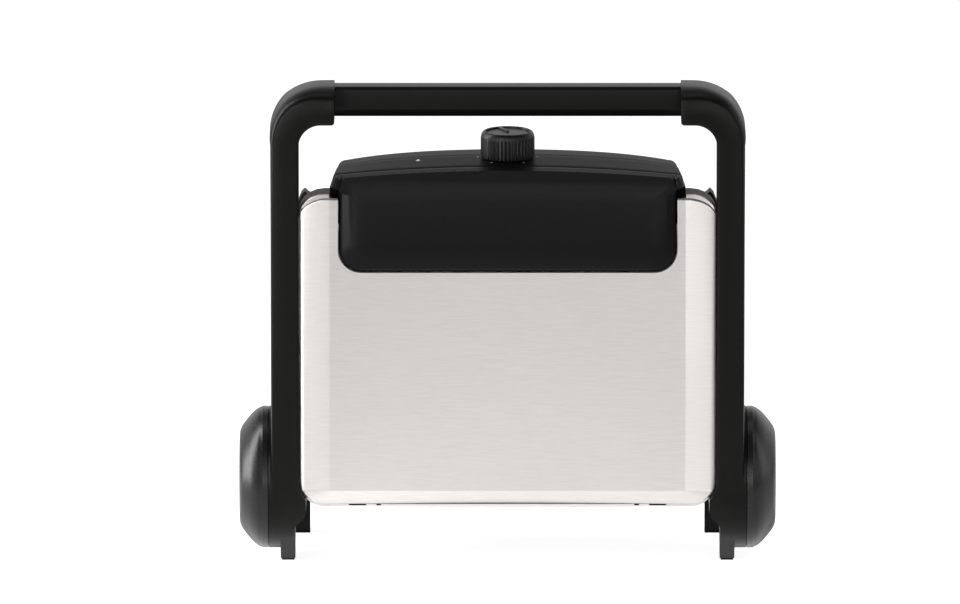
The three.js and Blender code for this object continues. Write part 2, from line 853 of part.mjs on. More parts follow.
function armStations() {
  const corner = { x: arm.innerX - elbow.innerRadius, z: elbow.bottomZ - elbow.innerRadius };
  const at = (table, stage) => {
    const list = [table.end, table.corner, table.shoulder, table.arm];
    const low = Math.min(Math.floor(stage), 2);
    return mix(list[low], list[low + 1], stage - low);
  };
  const widths = {
    end: elbow.height,
    corner: elbow.cornerWidth,
    shoulder: elbow.shoulderWidth,
    arm: arm.width,
  };
  const stations = [];
  const add = (x, z, angle, stage, depth) =>
    stations.push({
      x,
      z,
      angle,
      depth,
      width: at(widths, stage),
      rounding: at(elbow.rounding, stage),
      roundingDepth: at(elbow.roundingDepth, stage),
    });
  add(elbow.endX, elbow.bottomZ, Math.PI / 2, 0, arm.depth);
  for (let i = 0; i <= turnStages.steps; i += 1) {
    const share = i / turnStages.steps;
    const angle = (Math.PI / 2) * (1 - share);
    const x = corner.x + elbow.innerRadius * Math.cos(angle);
    const z = corner.z + elbow.innerRadius * Math.sin(angle);
    add(x, z, angle, mix(turnStages.first, turnStages.last, share), arm.depth);
  }
  add(arm.innerX, corner.z - elbow.straightenLength, 0, 3, arm.depth);
  add(arm.innerX, hub.z + hub.radius + arm.flareRadius, 0, 3, arm.lowDepth);
  add(arm.innerX, hub.z, 0, 3, arm.lowDepth);
  return stations;
}

function armSection({ x, z, angle, depth, width, rounding, roundingDepth }) {
  const rear = elbow.rearRounding;
  const flat = [
    [0, 0],
    ...quarter(width - rounding, roundingDepth, rounding, roundingDepth, -1, 5),
    ...quarter(width - rear, depth - rear, rear, rear, 0, 3),
    [0, depth],
  ];
  return flat.map(([out, y]) => [x + out * Math.cos(angle), y, z + out * Math.sin(angle)]);
}

// The hub's edge, the foot tab's front face that leaves it as a tangent, and the flare behind the arm
function tangentPoint() {
  const [dy, dz] = [tab.frontY - hub.y, -hub.z];
  const distance = Math.hypot(dy, dz);
  const turn = Math.acos(hub.radius / distance);
  const angle = Math.atan2(dz, dy) - turn;
  return [hub.y + hub.radius * Math.cos(angle), hub.z + hub.radius * Math.sin(angle)];
}

function flareOutline() {
  const across = arm.lowDepth + arm.flareRadius - hub.y;
  const reach = hub.radius + arm.flareRadius;
  const up = Math.sqrt(reach ** 2 - across ** 2);
  const centre = [hub.y + across, hub.z + up];
  const end = Math.atan2(-up, -across);
  const steps = 7;
  const curve = Array.from({ length: steps + 1 }, (_, i) => {
    const angle = mix(-Math.PI, end, i / steps);
    return [centre[0] + arm.flareRadius * Math.cos(angle), centre[1] + arm.flareRadius * Math.sin(angle)];
  });
  return [[arm.flareFrontY, hub.z], [arm.flareFrontY, centre[1]], ...curve, [hub.y, hub.z]];
}

function innerEdgeCut() {
  const steps = 8;
  const curve = Array.from({ length: steps + 1 }, (_, i) => {
    const share = i / steps;
    const eased = share * share * (3 - 2 * share);
    return [mix(tab.innerX, hub.bossInner, eased), mix(tab.curveBottomZ, tab.curveTopZ, share)];
  });
  return [[0, -overrun], [tab.innerX, -overrun], ...curve, [hub.bossInner, hub.z], [0, hub.z]];
}

const barOutline = (inset) => {
  const [y0, y1] = [bar.frontY + inset, bar.frontY + bar.depth - inset];
  const [z0, z1] = [bar.topZ - bar.height + inset, bar.topZ - inset];
  return [
    [y0 + bar.frontBottomChamfer, z0],
    [y1 - bar.rearChamfer, z0],
    [y1, z0 + bar.rearChamfer],
    [y1, z1 - bar.rearChamfer],
    [y1 - bar.rearChamfer, z1],
    [y0 + bar.frontTopChamfer, z1],
    [y0, z1 - bar.frontTopChamfer],
    [y0, z0 + bar.frontBottomRise],
  ];
};
const tenonEndX = elbow.endX + bar.tenonLength;
const barScrew = { x: elbow.endX + bar.tenonLength / 2, z: bar.topZ - bar.height / 2 };

function makeArm() {
  const upper = loft(armStations().map(armSection));
  const outerX = arm.innerX + arm.width;
  const flare = alongX(flareOutline(), arm.innerX, outerX - elbow.rounding.arm);
  const disc = turnedX(rodProfile(hub.radius, hub.bossInner, hub.armBandEnd), hub.y, hub.z, hubSides);
  const [tangentY, tangentZ] = tangentPoint();
  const footZ = tab.padThickness + gap;
  const lean = (tab.frontY - tangentY) / tangentZ;
  const tabOutline = [
    [tangentY, tangentZ],
    [tab.frontY - footZ * lean, footZ],
    [tab.frontY + tab.footLength, footZ],
    [tab.frontY + tab.footLength + hub.floorClearance, hub.floorClearance + hub.floorClearance],
    [hub.y, hub.z],
  ];
  const foot = alongX(tabOutline, tab.innerX, tab.outerX);
  const lidRoom = alongY(plateOutline(cover, -swingGap), -overrun, tub.rimY);
  const edge = alongY(innerEdgeCut(), -overrun, 2 * hub.radius + overrun);
  const cavity = rodX(hub.cavityRadius, hub.webEnd, outerX + hub.capWidth, hub.y, hub.z, hubSides);
  const bushBore = rodX(bush.radius + gap, 0, overallWidth, hub.y, hub.z);
  const socket = alongX(barOutline(bar.tenonInset - gap), 0, tenonEndX + gap);
  const stemRadius = screw.radius + gap;
  const screwHole = rodY(stemRadius, bar.frontY, arm.depth + overrun, barScrew.x, barScrew.z, smallSides);
  const headHole = rodY(
    screw.headRadius + gap,
    arm.depth - screw.headThickness,
    arm.depth + overrun,
    barScrew.x,
    barScrew.z,
  );
  const floatBore = rodX(float.pinRadius + gap, 0, float.outerX + gap, float.y, float.z);
  const solidArm = join(upper, flare, disc, foot);
  return cut(solidArm, lidRoom, edge, cavity, bushBore, socket, screwHole, headHole, floatBore);
}

function makeHandleBar() {
  const half = elbow.endX - gap;
  const grip = alongX(barOutline(0), -half, half);
  const tenon = alongX(barOutline(bar.tenonInset), -tenonEndX, tenonEndX);
  const holes = [-barScrew.x, barScrew.x].map((x) =>
    rodY(screw.radius + gap, bar.frontY + bar.depth / 2, arm.depth, x, barScrew.z, smallSides),
  );
  return cut(join(grip, tenon), ...holes);
}

function makeHubCap() {
  const seamX = hub.armBandEnd + gap;
  const faceX = overallWidth / 2;
  const roundX = seamX + hub.capBandWidth; // where the crease is
  const creaseRadius = hub.radius - hub.capCreaseDrop;
  const faceRadius = hub.radius - hub.capFaceDrop;
  const lean = THREE.MathUtils.degToRad(hub.capLeanDegrees);
  const steps = 7;
  const outer = Array.from({ length: steps + 1 }, (_, i) => {
    const angle = mix(lean, Math.PI / 2, i / steps);
    const along = (Math.sin(angle) - Math.sin(lean)) / (1 - Math.sin(lean));
    const out = Math.cos(angle) / Math.cos(lean);
    return [mix(faceRadius, creaseRadius, out), mix(roundX, faceX, along)];
  });
  const spigot = hub.cavityRadius - gap;
  const inner = spigot - hub.wall;
  const profile = [
    [0, faceX - hub.wall],
    [faceRadius - hub.wall, faceX - hub.wall],
    [inner, roundX + hub.wall],
    [inner, seamX - hub.wall],
    [spigot, seamX - hub.wall],
    [spigot, seamX],
    [hub.radius, seamX],
    ...outer,
    [0, faceX],
  ];
  return turnedX(profile, hub.y, hub.z, hubSides);
}

// Base housing, with a waist beside the hubs and a step behind the hinge for the lid's swing
function tubRing(y, inset, openTop = 0) {
  const share = (y - tub.rimY) / (tub.floorY - tub.rimY);
  const side = tub.halfWidth - tub.sideDraft * share - inset;
  const waistInset = inset ? tub.waistWall - tub.wall : 0;
  const waist = tub.waistHalfWidth - inset - waistInset;
  const bottom = tub.bottomZ + inset;
  const top = tub.topZ - tub.topDraft * share - inset + openTop;
  const round = tub.cornerRound - inset;
  const half = [
    ...quarter(waist - round, bottom + round, round, round, -1),
    [waist, tub.waistBottomZ + inset],
    [side, tub.waistTopZ + inset],
    ...quarter(side - round, top - round, round, round, 0),
  ];
  return bothSides(half).map(([x, z]) => [x, y, z]);
}

function makeTub() {
  const outside = loft([tubRing(tub.rimY, 0), tubRing(tub.floorY, 0)]);
  const inside = loft([tubRing(deckY, tub.wall), tubRing(tub.floorY + overrun, tub.wall)]);
  const stepInside = tub.stepY + tub.wall;
  const stepWall = common(
    block([-tub.halfWidth, tub.halfWidth], [deckY - overrun, stepInside], [0, tub.stepZ + tub.wall]),
    outside,
  );
  const hollow = cut(inside, stepWall);
  const pocket = alongY(plateOutline(pocketOutline), tub.rimY - overrun, lowerPlateBackY + gap);
  const opening = alongY(
    plateOutline(pocketOutline, plate.ledgeWidth + plate.pocketGap),
    tub.rimY - overrun,
    deckY + overrun,
  );
  const step = block(
    [-tub.halfWidth - overrun, tub.halfWidth + overrun],
    [tub.rimY - overrun, tub.stepY],
    [0, tub.stepZ],
  );
  const earFace = tub.waistHalfWidth;
  const earBack = earFace - tub.waistWall;
  const ears = [-1, 1].map((side) =>
    rodX(tub.earRadius, ...onSide(side, earBack, earFace), hub.y, hub.z, broadSides),
  );
  const pinBore = rodX(pin.radius + gap, -overallWidth / 2, overallWidth / 2, hub.y, hub.z);
  const bracketRoom = block(
    [-earBack, earBack],
    [hub.y - tub.earRadius - overrun, stepInside + overrun],
    [tub.stepZ - gap, plate.bottomZ - plate.pocketGap - tub.wall],
  );
  const inletBore = rodZ(inlet.radius + gap, 0, tub.bottomZ + 2 * tub.wall, inlet.x, inlet.y);
  const body = cut(outside, hollow, pocket, opening, step, bracketRoom);
  const screwHoles = coverScrewHoles(tub.rimY, tub.floorY + overrun);
  return cut(join(body, ...ears, ...coverPosts()), pinBore, inletBore, ...screwHoles);
}

// Where the screws of the bottom cover go, and the corner posts of the tub that take them
const coverScrewPlaces = [-1, 1].flatMap((side) => [
  [side * (tub.waistHalfWidth - 2 * tub.screwInset), tub.bottomZ + tub.cornerRound],
  [side * (tub.halfWidth - tub.sideDraft - tub.screwInset), tub.topZ - tub.topDraft - tub.screwInset],
]);

function coverScrewHoles(from, to) {
  return coverScrewPlaces.map(([x, z]) => rodY(screw.radius + gap, from, to, x, z, smallSides));
}

function coverPosts() {
  const from = deckY - overrun;
  return coverScrewPlaces.map(([x, z]) => {
    const post = rodY(screw.headRadius + screw.radius, from, tub.floorY, x, z, smallSides);
    const step = block([x - tub.cornerRound, x + tub.cornerRound], [0, tub.stepY], [0, tub.stepZ]);
    return z < tub.stepZ ? cut(post, step) : post;
  });
}

function makeBottomCover() {
  const outline = tubRing(tub.floorY, 0).map(([x, , z]) => [x, z]);
  const from = tub.floorY + gap;
  const sheet = alongY(outline, from, from + bottomCover.thickness);
  const vents = Array.from({ length: bottomCover.ventCount }, (_, i) => {
    const x = (i - (bottomCover.ventCount - 1) / 2) * bottomCover.ventPitch;
    return block(
      [x - bottomCover.ventWidth / 2, x + bottomCover.ventWidth / 2],
      [from - overrun, from + bottomCover.thickness + overrun],
      [bottomCover.ventZ - bottomCover.ventLength / 2, bottomCover.ventZ + bottomCover.ventLength / 2],
    );
  });
  return cut(sheet, ...vents, ...coverScrewHoles(from - overrun, from + bottomCover.thickness + overrun));
}

function makeScrewY(x, z, seatY, towards) {
  const tip = seatY - towards * screw.length;
  const top = seatY + towards * screw.headThickness;
  const middle = seatY + (towards * screw.headThickness) / 2;
  const stem = rodY(screw.radius, ...inOrder(tip, middle), x, z, smallSides);
  return join(stem, rodY(screw.headRadius, ...inOrder(seatY, top), x, z));
}

// The rear legs splay out from under the bottom cover and carry the grill when it stands
function makeLeg() {
  const outline = [
    [leg.innerX, leg.padThickness + gap],
    [leg.outerX, leg.padThickness + gap],
    [leg.outerX, leg.splayBottomZ],
    [leg.tongueOuterX, leg.splayTopZ],
    [leg.tongueOuterX, leg.topZ],
    [leg.tongueX, leg.topZ],
    [leg.tongueX, leg.splayTopZ],
    [leg.innerX, leg.splayBottomZ],
  ];
  return cut(alongY(outline, leg.frontY, overallDepth), screwRoom(coverScrewPlaces[2]));
}

function screwRoom([x, z]) {
  return rodY(screw.headRadius + gap, leg.frontY - overrun, overallDepth + overrun, x, z);
}

function makeFrontFoot() {
  const slope = (frontFoot.tipZ - frontFoot.topZ) / 2;
  const outline = [
    [frontFoot.innerX, frontFoot.bottomZ],
    [frontFoot.tipX, frontFoot.bottomZ],
    [frontFoot.outerX, frontFoot.outerZ],
    [frontFoot.tipX + slope, frontFoot.tipZ - slope],
    [frontFoot.tipX, frontFoot.tipZ],
    [frontFoot.tipX - slope, frontFoot.tipZ - slope],
    [frontFoot.tipX - frontFoot.tipZ + frontFoot.topZ - slope, frontFoot.topZ],
    [frontFoot.innerX, frontFoot.topZ],
  ];
  return cut(alongY(outline, leg.frontY, overallDepth), screwRoom(coverScrewPlaces[3]));
}

function makeBracket() {
  const x0 = tub.waistHalfWidth - tub.waistWall - bracket.inset - bracket.thickness;
  const ear = rodX(bracket.earRadius, x0, x0 + bracket.thickness, hub.y, hub.z, broadSides);
  const x = [x0, x0 + bracket.thickness];
  const web = block(x, [deckY + gap, bracket.bottomY], [bracket.bottomZ, bracket.topZ]);
  const neck = block(x, [hub.y - bracket.earRadius / 2, deckY + gap + overrun], [hub.z, bracket.neckTopZ]);
  return cut(join(ear, web, neck), rodX(pin.radius + gap, 0, overallWidth, hub.y, hub.z));
}

function makeHingePin() {
  const headX = tub.waistHalfWidth - tub.waistWall - bracket.inset - bracket.thickness - gap;
  const shank = rodX(pin.radius, headX - pin.headThickness / 2, pin.endX, hub.y, hub.z);
  return join(shank, rodX(pin.headRadius, headX - pin.headThickness, headX, hub.y, hub.z));
}

function makeHingeBush() {
  const ring = rodX(bush.radius, hub.bossInner + gap, hub.webEnd, hub.y, hub.z);
  return cut(ring, rodX(pin.radius + runningClearance, 0, overallWidth, hub.y, hub.z));
}

function makeWasher() {
  const from = hub.webEnd + gap;
  const disc = rodX(washer.radius, from, from + washer.thickness, hub.y, hub.z);
  return cut(disc, rodX(pin.radius + gap, 0, overallWidth, hub.y, hub.z));
}

function makeNut() {
  const from = hub.webEnd + gap + washer.thickness + gap;
  const hexagon = rodX(nut.radius, from, from + nut.thickness, hub.y, hub.z, 6);
  return cut(hexagon, rodX(pin.radius + gap, 0, overallWidth, hub.y, hub.z));
}

function makeFloatBush() {
  const ring = rodX(float.bushRadius, float.innerX, cover.halfWidth - lidFrame.sideGap, float.y, float.z);
  return cut(ring, rodX(float.pinRadius + runningClearance, 0, overallWidth, float.y, float.z));
}

// Console: its top face is level up to a crease and falls away behind it
const narrowingShare = 1.35; // the sides reach the rear width this much sooner than the rear edge
const endShares = [0.45, 0.8, 1];

function consoleRing(y, inset, footZ) {
  const share = (y - console_.frontY) / (console_.rearY - console_.frontY);
  const easedShare = Math.min(share * narrowingShare, 1);
  const half = mix(console_.frontHalfWidth, console_.rearHalfWidth, easedShare) - inset;
  const fall = Math.max(0, y - console_.creaseY) / (console_.rearY - console_.creaseY);
  const endShare = Math.max(0, (y - console_.rearY) / (console_.endY - console_.rearY));
  const roundEnd = (console_.endY - console_.rearY) * (1 - Math.sqrt(1 - endShare * endShare));
  const topZ = nose.topZ - console_.rearDrop * fall - roundEnd - inset;
  const round = mix(nose.edgeRound, console_.rearRound, share);
  const head = archedTop(half - nose.sideLean, topZ, round, console_.rearBow * easedShare);
  const lean = [half, head[0][1] - console_.leanHeight];
  return bothSides([[half, footZ], lean, ...head]).map(([x, z]) => [x, y, z]);
}

function tubTopAt(y) {
  const share = (y - tub.rimY) / (tub.floorY - tub.rimY);
  return tub.topZ - tub.topDraft * share;
}

function consoleFootAt(y) {
  return y < tub.rimY ? console_.footZ : tubTopAt(y) + console_.footGap;
}

function makeConsole() {
  const stations = [
    console_.frontY,
    tub.rimY - gap,
    tub.rimY + gap,
    console_.creaseY,
    console_.rearY,
    ...endShares.map((share) => mix(console_.rearY, console_.endY, share)),
  ];
  const outside = loft(stations.map((y) => consoleRing(y, 0, consoleFootAt(y))));
  const inner = [
    console_.frontY + console_.wall,
    console_.creaseY,
    console_.rearY,
    console_.endY - console_.wall,
  ];
  const inside = loft(inner.map((y) => consoleRing(y, console_.wall, consoleFootAt(y) + console_.wall)));
  const mouthHalf = console_.rearHalfWidth - console_.wall - tub.cornerRound;
  const mouth = block(
    [-mouthHalf, mouthHalf],
    [deckY, console_.rearY - console_.wall],
    [tub.topZ - tub.topDraft - overrun, nose.shoulderZ],
  );
  const shaftHole = rodZ(thermostat.neckRadius + gap, nose.shoulderZ, nose.topZ + overrun, 0, knobAxisY);
  const lensHole = rodZ(lens.radius + gap, nose.shoulderZ, nose.topZ + overrun, -lens.x, lens.y, smallSides);
  return cut(outside, inside, mouth, shaftHole, lensHole);
}

// Knob: a fluted skirt under a dome with a recess for the cap
const domeShares = [0.3, 0.65];

function knobRing(z, radius, ribDepth) {
  const count = knob.ribCount * 3;
  return Array.from({ length: count }, (_, i) => {
    const angle = (2 * Math.PI * i) / count;
    const r = radius - (i % 3 ? 0 : ribDepth);
    return [r * Math.cos(angle), knobAxisY + r * Math.sin(angle), z];
  });
}

function makeKnob() {
  const top = knob.bottomZ + knob.height;
  const shoulder = top - knob.domeHeight;
  const dome = (share) => {
    const angle = (share * Math.PI) / 2;
    const drop = knob.domeHeight * (1 - Math.sin(angle));
    return [top - drop, mix(knob.rimRadius, knob.radius, Math.cos(angle))];
  };
  const rings = [
    knobRing(knob.bottomZ, knob.radius, knob.ribDepth),
    knobRing(shoulder, knob.radius, knob.ribDepth),
    ...domeShares.map((share) => knobRing(...dome(share), 0)),
    knobRing(top, knob.rimRadius, 0),
  ];
  const recess = rodZ(knob.recessRadius, top - knob.recessDepth, top + overrun, 0, knobAxisY, knobSides);
  const cavityTop = knob.bottomZ + knob.cavityHeight;
  const cavity = rodZ(knob.cavityRadius, knob.bottomZ - overrun, cavityTop, 0, knobAxisY, hubSides);
  const socket = rodZ(knob.socketRadius, knob.bottomZ, cavityTop + overrun, 0, knobAxisY);
  const bore = rodZ(shaft.radius + gap, knob.bottomZ - overrun, shaft.topZ + gap, 0, knobAxisY);
  return cut(join(cut(loft(rings), recess, cavity), socket), bore);
}

function makeKnobCap() {
  const from = knob.bottomZ + knob.height - knob.recessDepth + gap;
  const disc = rodZ(knob.recessRadius - gap, from, from + knobCap.thickness, 0, 0, knobSides);
  const ridge = block(
    [knobCap.pointerStart, knob.recessRadius - knobCap.ridgeWidth / 2],
    [-knobCap.ridgeWidth / 2, knobCap.ridgeWidth / 2],
    [from + knobCap.thickness / 2, from + knobCap.thickness + knobCap.ridgeHeight],
  );
  return join(disc, ridge);
}

function makeThermostat() {
  const neckTop = shaft.bottomZ - gap;
  const bodyTop = neckTop - knobCap.thickness;
  const body = rodZ(thermostat.radius, bodyTop - thermostat.height, bodyTop, 0, knobAxisY, broadSides);
  return join(body, rodZ(thermostat.neckRadius, bodyTop - overrun, neckTop, 0, knobAxisY));
}

function makeThermostatBracket() {
  const half = thermostatBracket.width / 2;
  const top = nose.topZ - bowAt(half) - console_.wall - gap;
  const low = top - thermostatBracket.thickness;
  const [front, rear] = [knobAxisY - thermostatBracket.depth / 2, console_.creaseY - gap];
  const sheet = block([-half, half], [front, rear], [low, top]);
  const legs = [-1, 1].map((side) =>
    block(
      onSide(side, half - thermostatBracket.thickness, half),
      [front, rear],
      [low - thermostatBracket.legDrop, low + thermostatBracket.thickness / 2],
    ),
  );
  const neckHole = rodZ(thermostat.neckRadius + gap, low - overrun, top + overrun, 0, knobAxisY);
  return cut(join(sheet, ...legs), neckHole);
}

function makeLens() {
  const deck = nose.topZ - bowAt(lens.x);
  const collarTop = deck - console_.wall - gap - gap;
  const profile = [
    [0, deck - lens.length],
    [lens.collarRadius, deck - lens.length],
    [lens.collarRadius, collarTop],
    [lens.radius, collarTop],
    [lens.radius, deck],
    [lens.radius * Math.SQRT1_2, deck + lens.proud * Math.SQRT1_2],
    [0, deck + lens.proud],
  ];
  return turnedZ(profile, -lens.x, lens.y);
}

function makeLamp() {
  const top = nose.topZ - bowAt(lens.x) - lens.length - gap;
  return rodZ(lamp.radius, top - lamp.height, top, -lens.x, lens.y);
}

function makeInletBush() {
  const inside = tub.bottomZ + tub.wall + gap;
  const profile = [
    [inlet.boreRadius, tub.bottomZ - inlet.reach],
    [inlet.radius, tub.bottomZ - inlet.reach],
    [inlet.radius, inside],
    [inlet.collarRadius, inside],
    [inlet.collarRadius, inside + inlet.collar],
    [inlet.boreRadius, inside + inlet.collar],
    [inlet.boreRadius, tub.bottomZ - inlet.reach],
  ];
  return turnedZ(profile, inlet.x, inlet.y);
}

function makeTerminalBlock() {
  const top = tub.floorY;
  const x = [terminal.x - terminal.width / 2, terminal.x + terminal.width / 2];
  const z = [terminal.bottomZ, terminal.bottomZ + terminal.height];
  const body = block(x, [top - terminal.depth, top], z);
  const slots = [-1, 0, 1].map((step) =>
    rodZ(
      inlet.boreRadius / 2,
      z[0] - overrun,
      z[1] + overrun,
      terminal.x + (step * terminal.width) / 4,
      top - terminal.depth / 2,
      smallSides,
    ),
  );
  return cut(body, ...slots);
}

// Base
piece("base_shell", makeTub(), blackPlastic);
piece("console", makeConsole(), satinPlastic);
piece("bottom_cover", makeBottomCover(), blackPlastic);
coverScrewPlaces.forEach(([x, z], i) => {
  const seat = tub.floorY + gap + bottomCover.thickness + gap;
  piece("bottom_screw_" + (i + 1), makeScrewY(x, z, seat, 1), zincSteel);
});
pair("rear_leg", makeLeg(), blackPlastic);
pair("leg_pad", block([leg.innerX, leg.outerX], [leg.frontY, overallDepth], [0, leg.padThickness]), rubber);
pair("front_foot", makeFrontFoot(), blackPlastic);
piece("lower_plate", makePlate(lowerPlateBackY, -1), castPlate);
piece("lower_element", makeElement(lowerPlateBackY + gap + element.radius), elementSteel);
piece("lower_reflector", makeReflector(deckY + gap + reflector.sheet, 1), zincSteel);
pair("hinge_bracket", makeBracket(), zincSteel);
pair("hinge_pin", makeHingePin(), zincSteel);
pair("friction_washer", makeWasher(), zincSteel);
pair("hinge_nut", makeNut(), zincSteel);
piece("thermostat", makeThermostat(), ceramic);
piece("thermostat_bracket", makeThermostatBracket(), zincSteel);
piece("indicator_lens", makeLens(), lensClear);
piece("indicator_lamp", makeLamp(), ceramic);
piece("terminal_block", makeTerminalBlock(), ceramic);
piece("inlet_bush", makeInletBush(), rubber);

// Handle frame
pair("arm", makeArm(), blackPlastic);
piece("handle_bar", makeHandleBar(), blackPlastic);
pair("hub_cap", makeHubCap(), satinPlastic);
pair("hinge_bush", makeHingeBush(), nylon);
pair("float_pin", rodX(float.pinRadius, float.innerX, float.outerX, float.y, float.z), zincSteel);
pair("handle_screw", makeScrewY(barScrew.x, barScrew.z, arm.depth - screw.headThickness + gap, 1), zincSteel);
pair(
  "tab_pad",
  block(
    [tab.innerX + tab.padInset, tab.outerX - tab.padInset],
    [tab.frontY + tab.padInset, tab.frontY + tab.footLength - tab.padInset],
    [0, tab.padThickness],
  ),
  rubber,
);

// Lid
piece("top_cover", makeCover(), brushedSteel);
piece("nose", makeNose(), blackPlastic);
piece("upper_frame", makeLidFrame(), blackPlastic);
piece("upper_plate", makePlate(upperPlateBackY, 1), castPlate);
piece("upper_element", makeElement(upperPlateBackY - gap - element.radius), elementSteel);
piece("upper_reflector", makeReflector(lidFrame.frontY - gap, 1), zincSteel);
pair("float_bush", makeFloatBush(), nylon);
pair("nose_screw", makeScrewY(nose.screwX, nose.screwZ, screwSeatY + gap, 1), zincSteel);

// Knob, turned to where its pointer stands in the photograph
piece("knob", makeKnob(), blackPlastic);
const cap = piece("knob_cap", makeKnobCap(), satinPlastic);
cap.position.y = knobAxisY;
cap.rotation.z = THREE.MathUtils.degToRad(knobCap.pointerDegrees);
piece("thermostat_shaft", rodZ(shaft.radius, shaft.bottomZ, shaft.topZ, 0, knobAxisY), zincSteel);

export default grill;
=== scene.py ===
"""A contact grill standing on its hinge end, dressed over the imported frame."""

import json
import math

import bmesh
import bpy
from mathutils import Matrix, Quaternion, Vector


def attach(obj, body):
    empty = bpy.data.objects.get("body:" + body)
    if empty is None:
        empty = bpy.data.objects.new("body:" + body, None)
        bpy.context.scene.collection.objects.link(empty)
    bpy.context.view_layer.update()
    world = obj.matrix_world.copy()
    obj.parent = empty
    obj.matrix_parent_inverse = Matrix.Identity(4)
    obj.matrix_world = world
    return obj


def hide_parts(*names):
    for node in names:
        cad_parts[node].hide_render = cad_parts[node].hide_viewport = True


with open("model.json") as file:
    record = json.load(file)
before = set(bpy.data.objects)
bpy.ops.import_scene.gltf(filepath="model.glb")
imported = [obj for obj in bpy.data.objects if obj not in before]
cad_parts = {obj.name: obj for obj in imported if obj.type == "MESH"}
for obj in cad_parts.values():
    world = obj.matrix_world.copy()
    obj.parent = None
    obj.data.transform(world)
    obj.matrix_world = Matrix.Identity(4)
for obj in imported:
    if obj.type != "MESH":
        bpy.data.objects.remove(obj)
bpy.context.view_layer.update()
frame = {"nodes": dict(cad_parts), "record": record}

scene = bpy.context.scene
scene.view_settings.view_transform = "Standard"

# Lengths below are in millimetres. Depth is counted from the front plane of the arms, as in the CAD source.
MM = 0.001
HALF_DEPTH = 71.0


def at(x, y, z):
    return Vector((x * MM, (y - HALF_DEPTH) * MM, z * MM))


# Camera: the photograph's view from 12 degrees above level, aimed at AIM from DISTANCE metres away
TILT = math.radians(12)
AIM, DISTANCE = (-19.5, 40, 186.66), 15.1
camera_data = bpy.data.cameras.new("camera")
camera_data.lens = 802
camera_data.sensor_width = 36
camera_data.clip_end = 60
camera = bpy.data.objects.new("camera", camera_data)
scene.collection.objects.link(camera)
scene.camera = camera
away = Vector((0, -math.cos(TILT), math.sin(TILT)))
camera.location = at(*AIM) + away * DISTANCE
camera.rotation_mode = "QUATERNION"
camera.rotation_quaternion = (-away).to_track_quat("-Z", "Y")


# Shader nodes
def new_material(name):
    material = bpy.data.materials.new(name)
    material.use_nodes = True
    tree = material.node_tree
    return material, tree, tree.nodes["Principled BSDF"]


def add(tree, kind, **settings):
    node = tree.nodes.new(kind)
    for key, value in settings.items():
        setattr(node, key, value)
    return node


def calculate(tree, operation, values, use_clamp=False):
    """The sum or the product of two values, each a socket or a number."""
    node = add(tree, "ShaderNodeMath", operation=operation, use_clamp=use_clamp)
    for socket, value in zip(node.inputs, values):
        if isinstance(value, (int, float)):
            socket.default_value = value
        else:
            tree.links.new(value, socket)
    return node.outputs[0]


def remap(tree, value, start, end, at_start, at_end, interpolation="LINEAR"):
    """A value that goes from at_start to at_end while the given one goes from start to end."""
    node = add(tree, "ShaderNodeMapRange", interpolation_type=interpolation)
    limits = {"From Min": start, "From Max": end, "To Min": at_start, "To Max": at_end}
    for key, limit in limits.items():
        node.inputs[key].default_value = limit
    tree.links.new(value, node.inputs["Value"])
    return node.outputs["Result"]


def coordinates(tree, kind="Object"):
    return add(tree, "ShaderNodeTexCoord").outputs[kind]


def upward(tree, kind="Object"):
    """The Z of the coordinates."""
    apart = add(tree, "ShaderNodeSeparateXYZ")
    tree.links.new(coordinates(tree, kind), apart.inputs[0])
    return apart.outputs["Z"]


def noise(tree, scale, stretch=(1, 1, 1), detail=3.0, rough=0.5):
    mapping = add(tree, "ShaderNodeMapping")
    mapping.inputs["Scale"].default_value = stretch
    texture = add(tree, "ShaderNodeTexNoise")
    for key, value in (("Scale", scale), ("Detail", detail), ("Roughness", rough)):
        texture.inputs[key].default_value = value
    tree.links.new(coordinates(tree), mapping.inputs["Vector"])
    tree.links.new(mapping.outputs["Vector"], texture.inputs["Vector"])
    return texture.outputs["Fac"]


def spread(tree, value, low, high):
    """A noise value, most of which lies between 0.3 and 0.7, spread from low to high."""
    return remap(tree, value, 0.3, 0.7, low, high)


def shade(tree, value, dark, light):
    """A colour between two. Inputs 6 and 7 and output 2 are the mix node's colours."""
    node = add(tree, "ShaderNodeMix", data_type="RGBA")
    node.inputs[6].default_value = (*dark, 1)
    node.inputs[7].default_value = (*light, 1)
    tree.links.new(value, node.inputs["Factor"])
    return node.outputs[2]


def bump(tree, principled, heights):
    """Chains bumps: each entry is a height socket and its depth in metres."""
    last = None
    for height, depth in heights:
        node = add(tree, "ShaderNodeBump")
        node.inputs["Strength"].default_value = 1
        node.inputs["Distance"].default_value = depth
        tree.links.new(height, node.inputs["Height"])
        if last is not None:
            tree.links.new(last, node.inputs["Normal"])
        last = node.outputs["Normal"]
    tree.links.new(last, principled.inputs["Normal"])


def linear(*rgb):
    """The linear colour of an sRGB one in steps of 255."""
    shares = [value / 255 for value in rgb]
    return tuple(c / 12.92 if c <= 0.04045 else ((c + 0.055) / 1.055) ** 2.4 for c in shares)


def plastic(name, colour, roughness, specular, grain=1800, depth=0.00002):
    """Moulded plastic with a fine spark-eroded grain and a faint long-wave waviness."""
    material, tree, principled = new_material(name)
    fine = noise(tree, grain, detail=2)
    broad = noise(tree, 22, detail=2)
    dark = tuple(c * 0.9 for c in colour)
    light = tuple(c * 1.12 for c in colour)
    tree.links.new(shade(tree, broad, dark, light), principled.inputs["Base Color"])
    tree.links.new(spread(tree, fine, roughness - 0.04, roughness + 0.05), principled.inputs["Roughness"])
    principled.inputs["Specular IOR Level"].default_value = specular
    bump(tree, principled, [(fine, depth), (broad, depth * 3)])
    return material


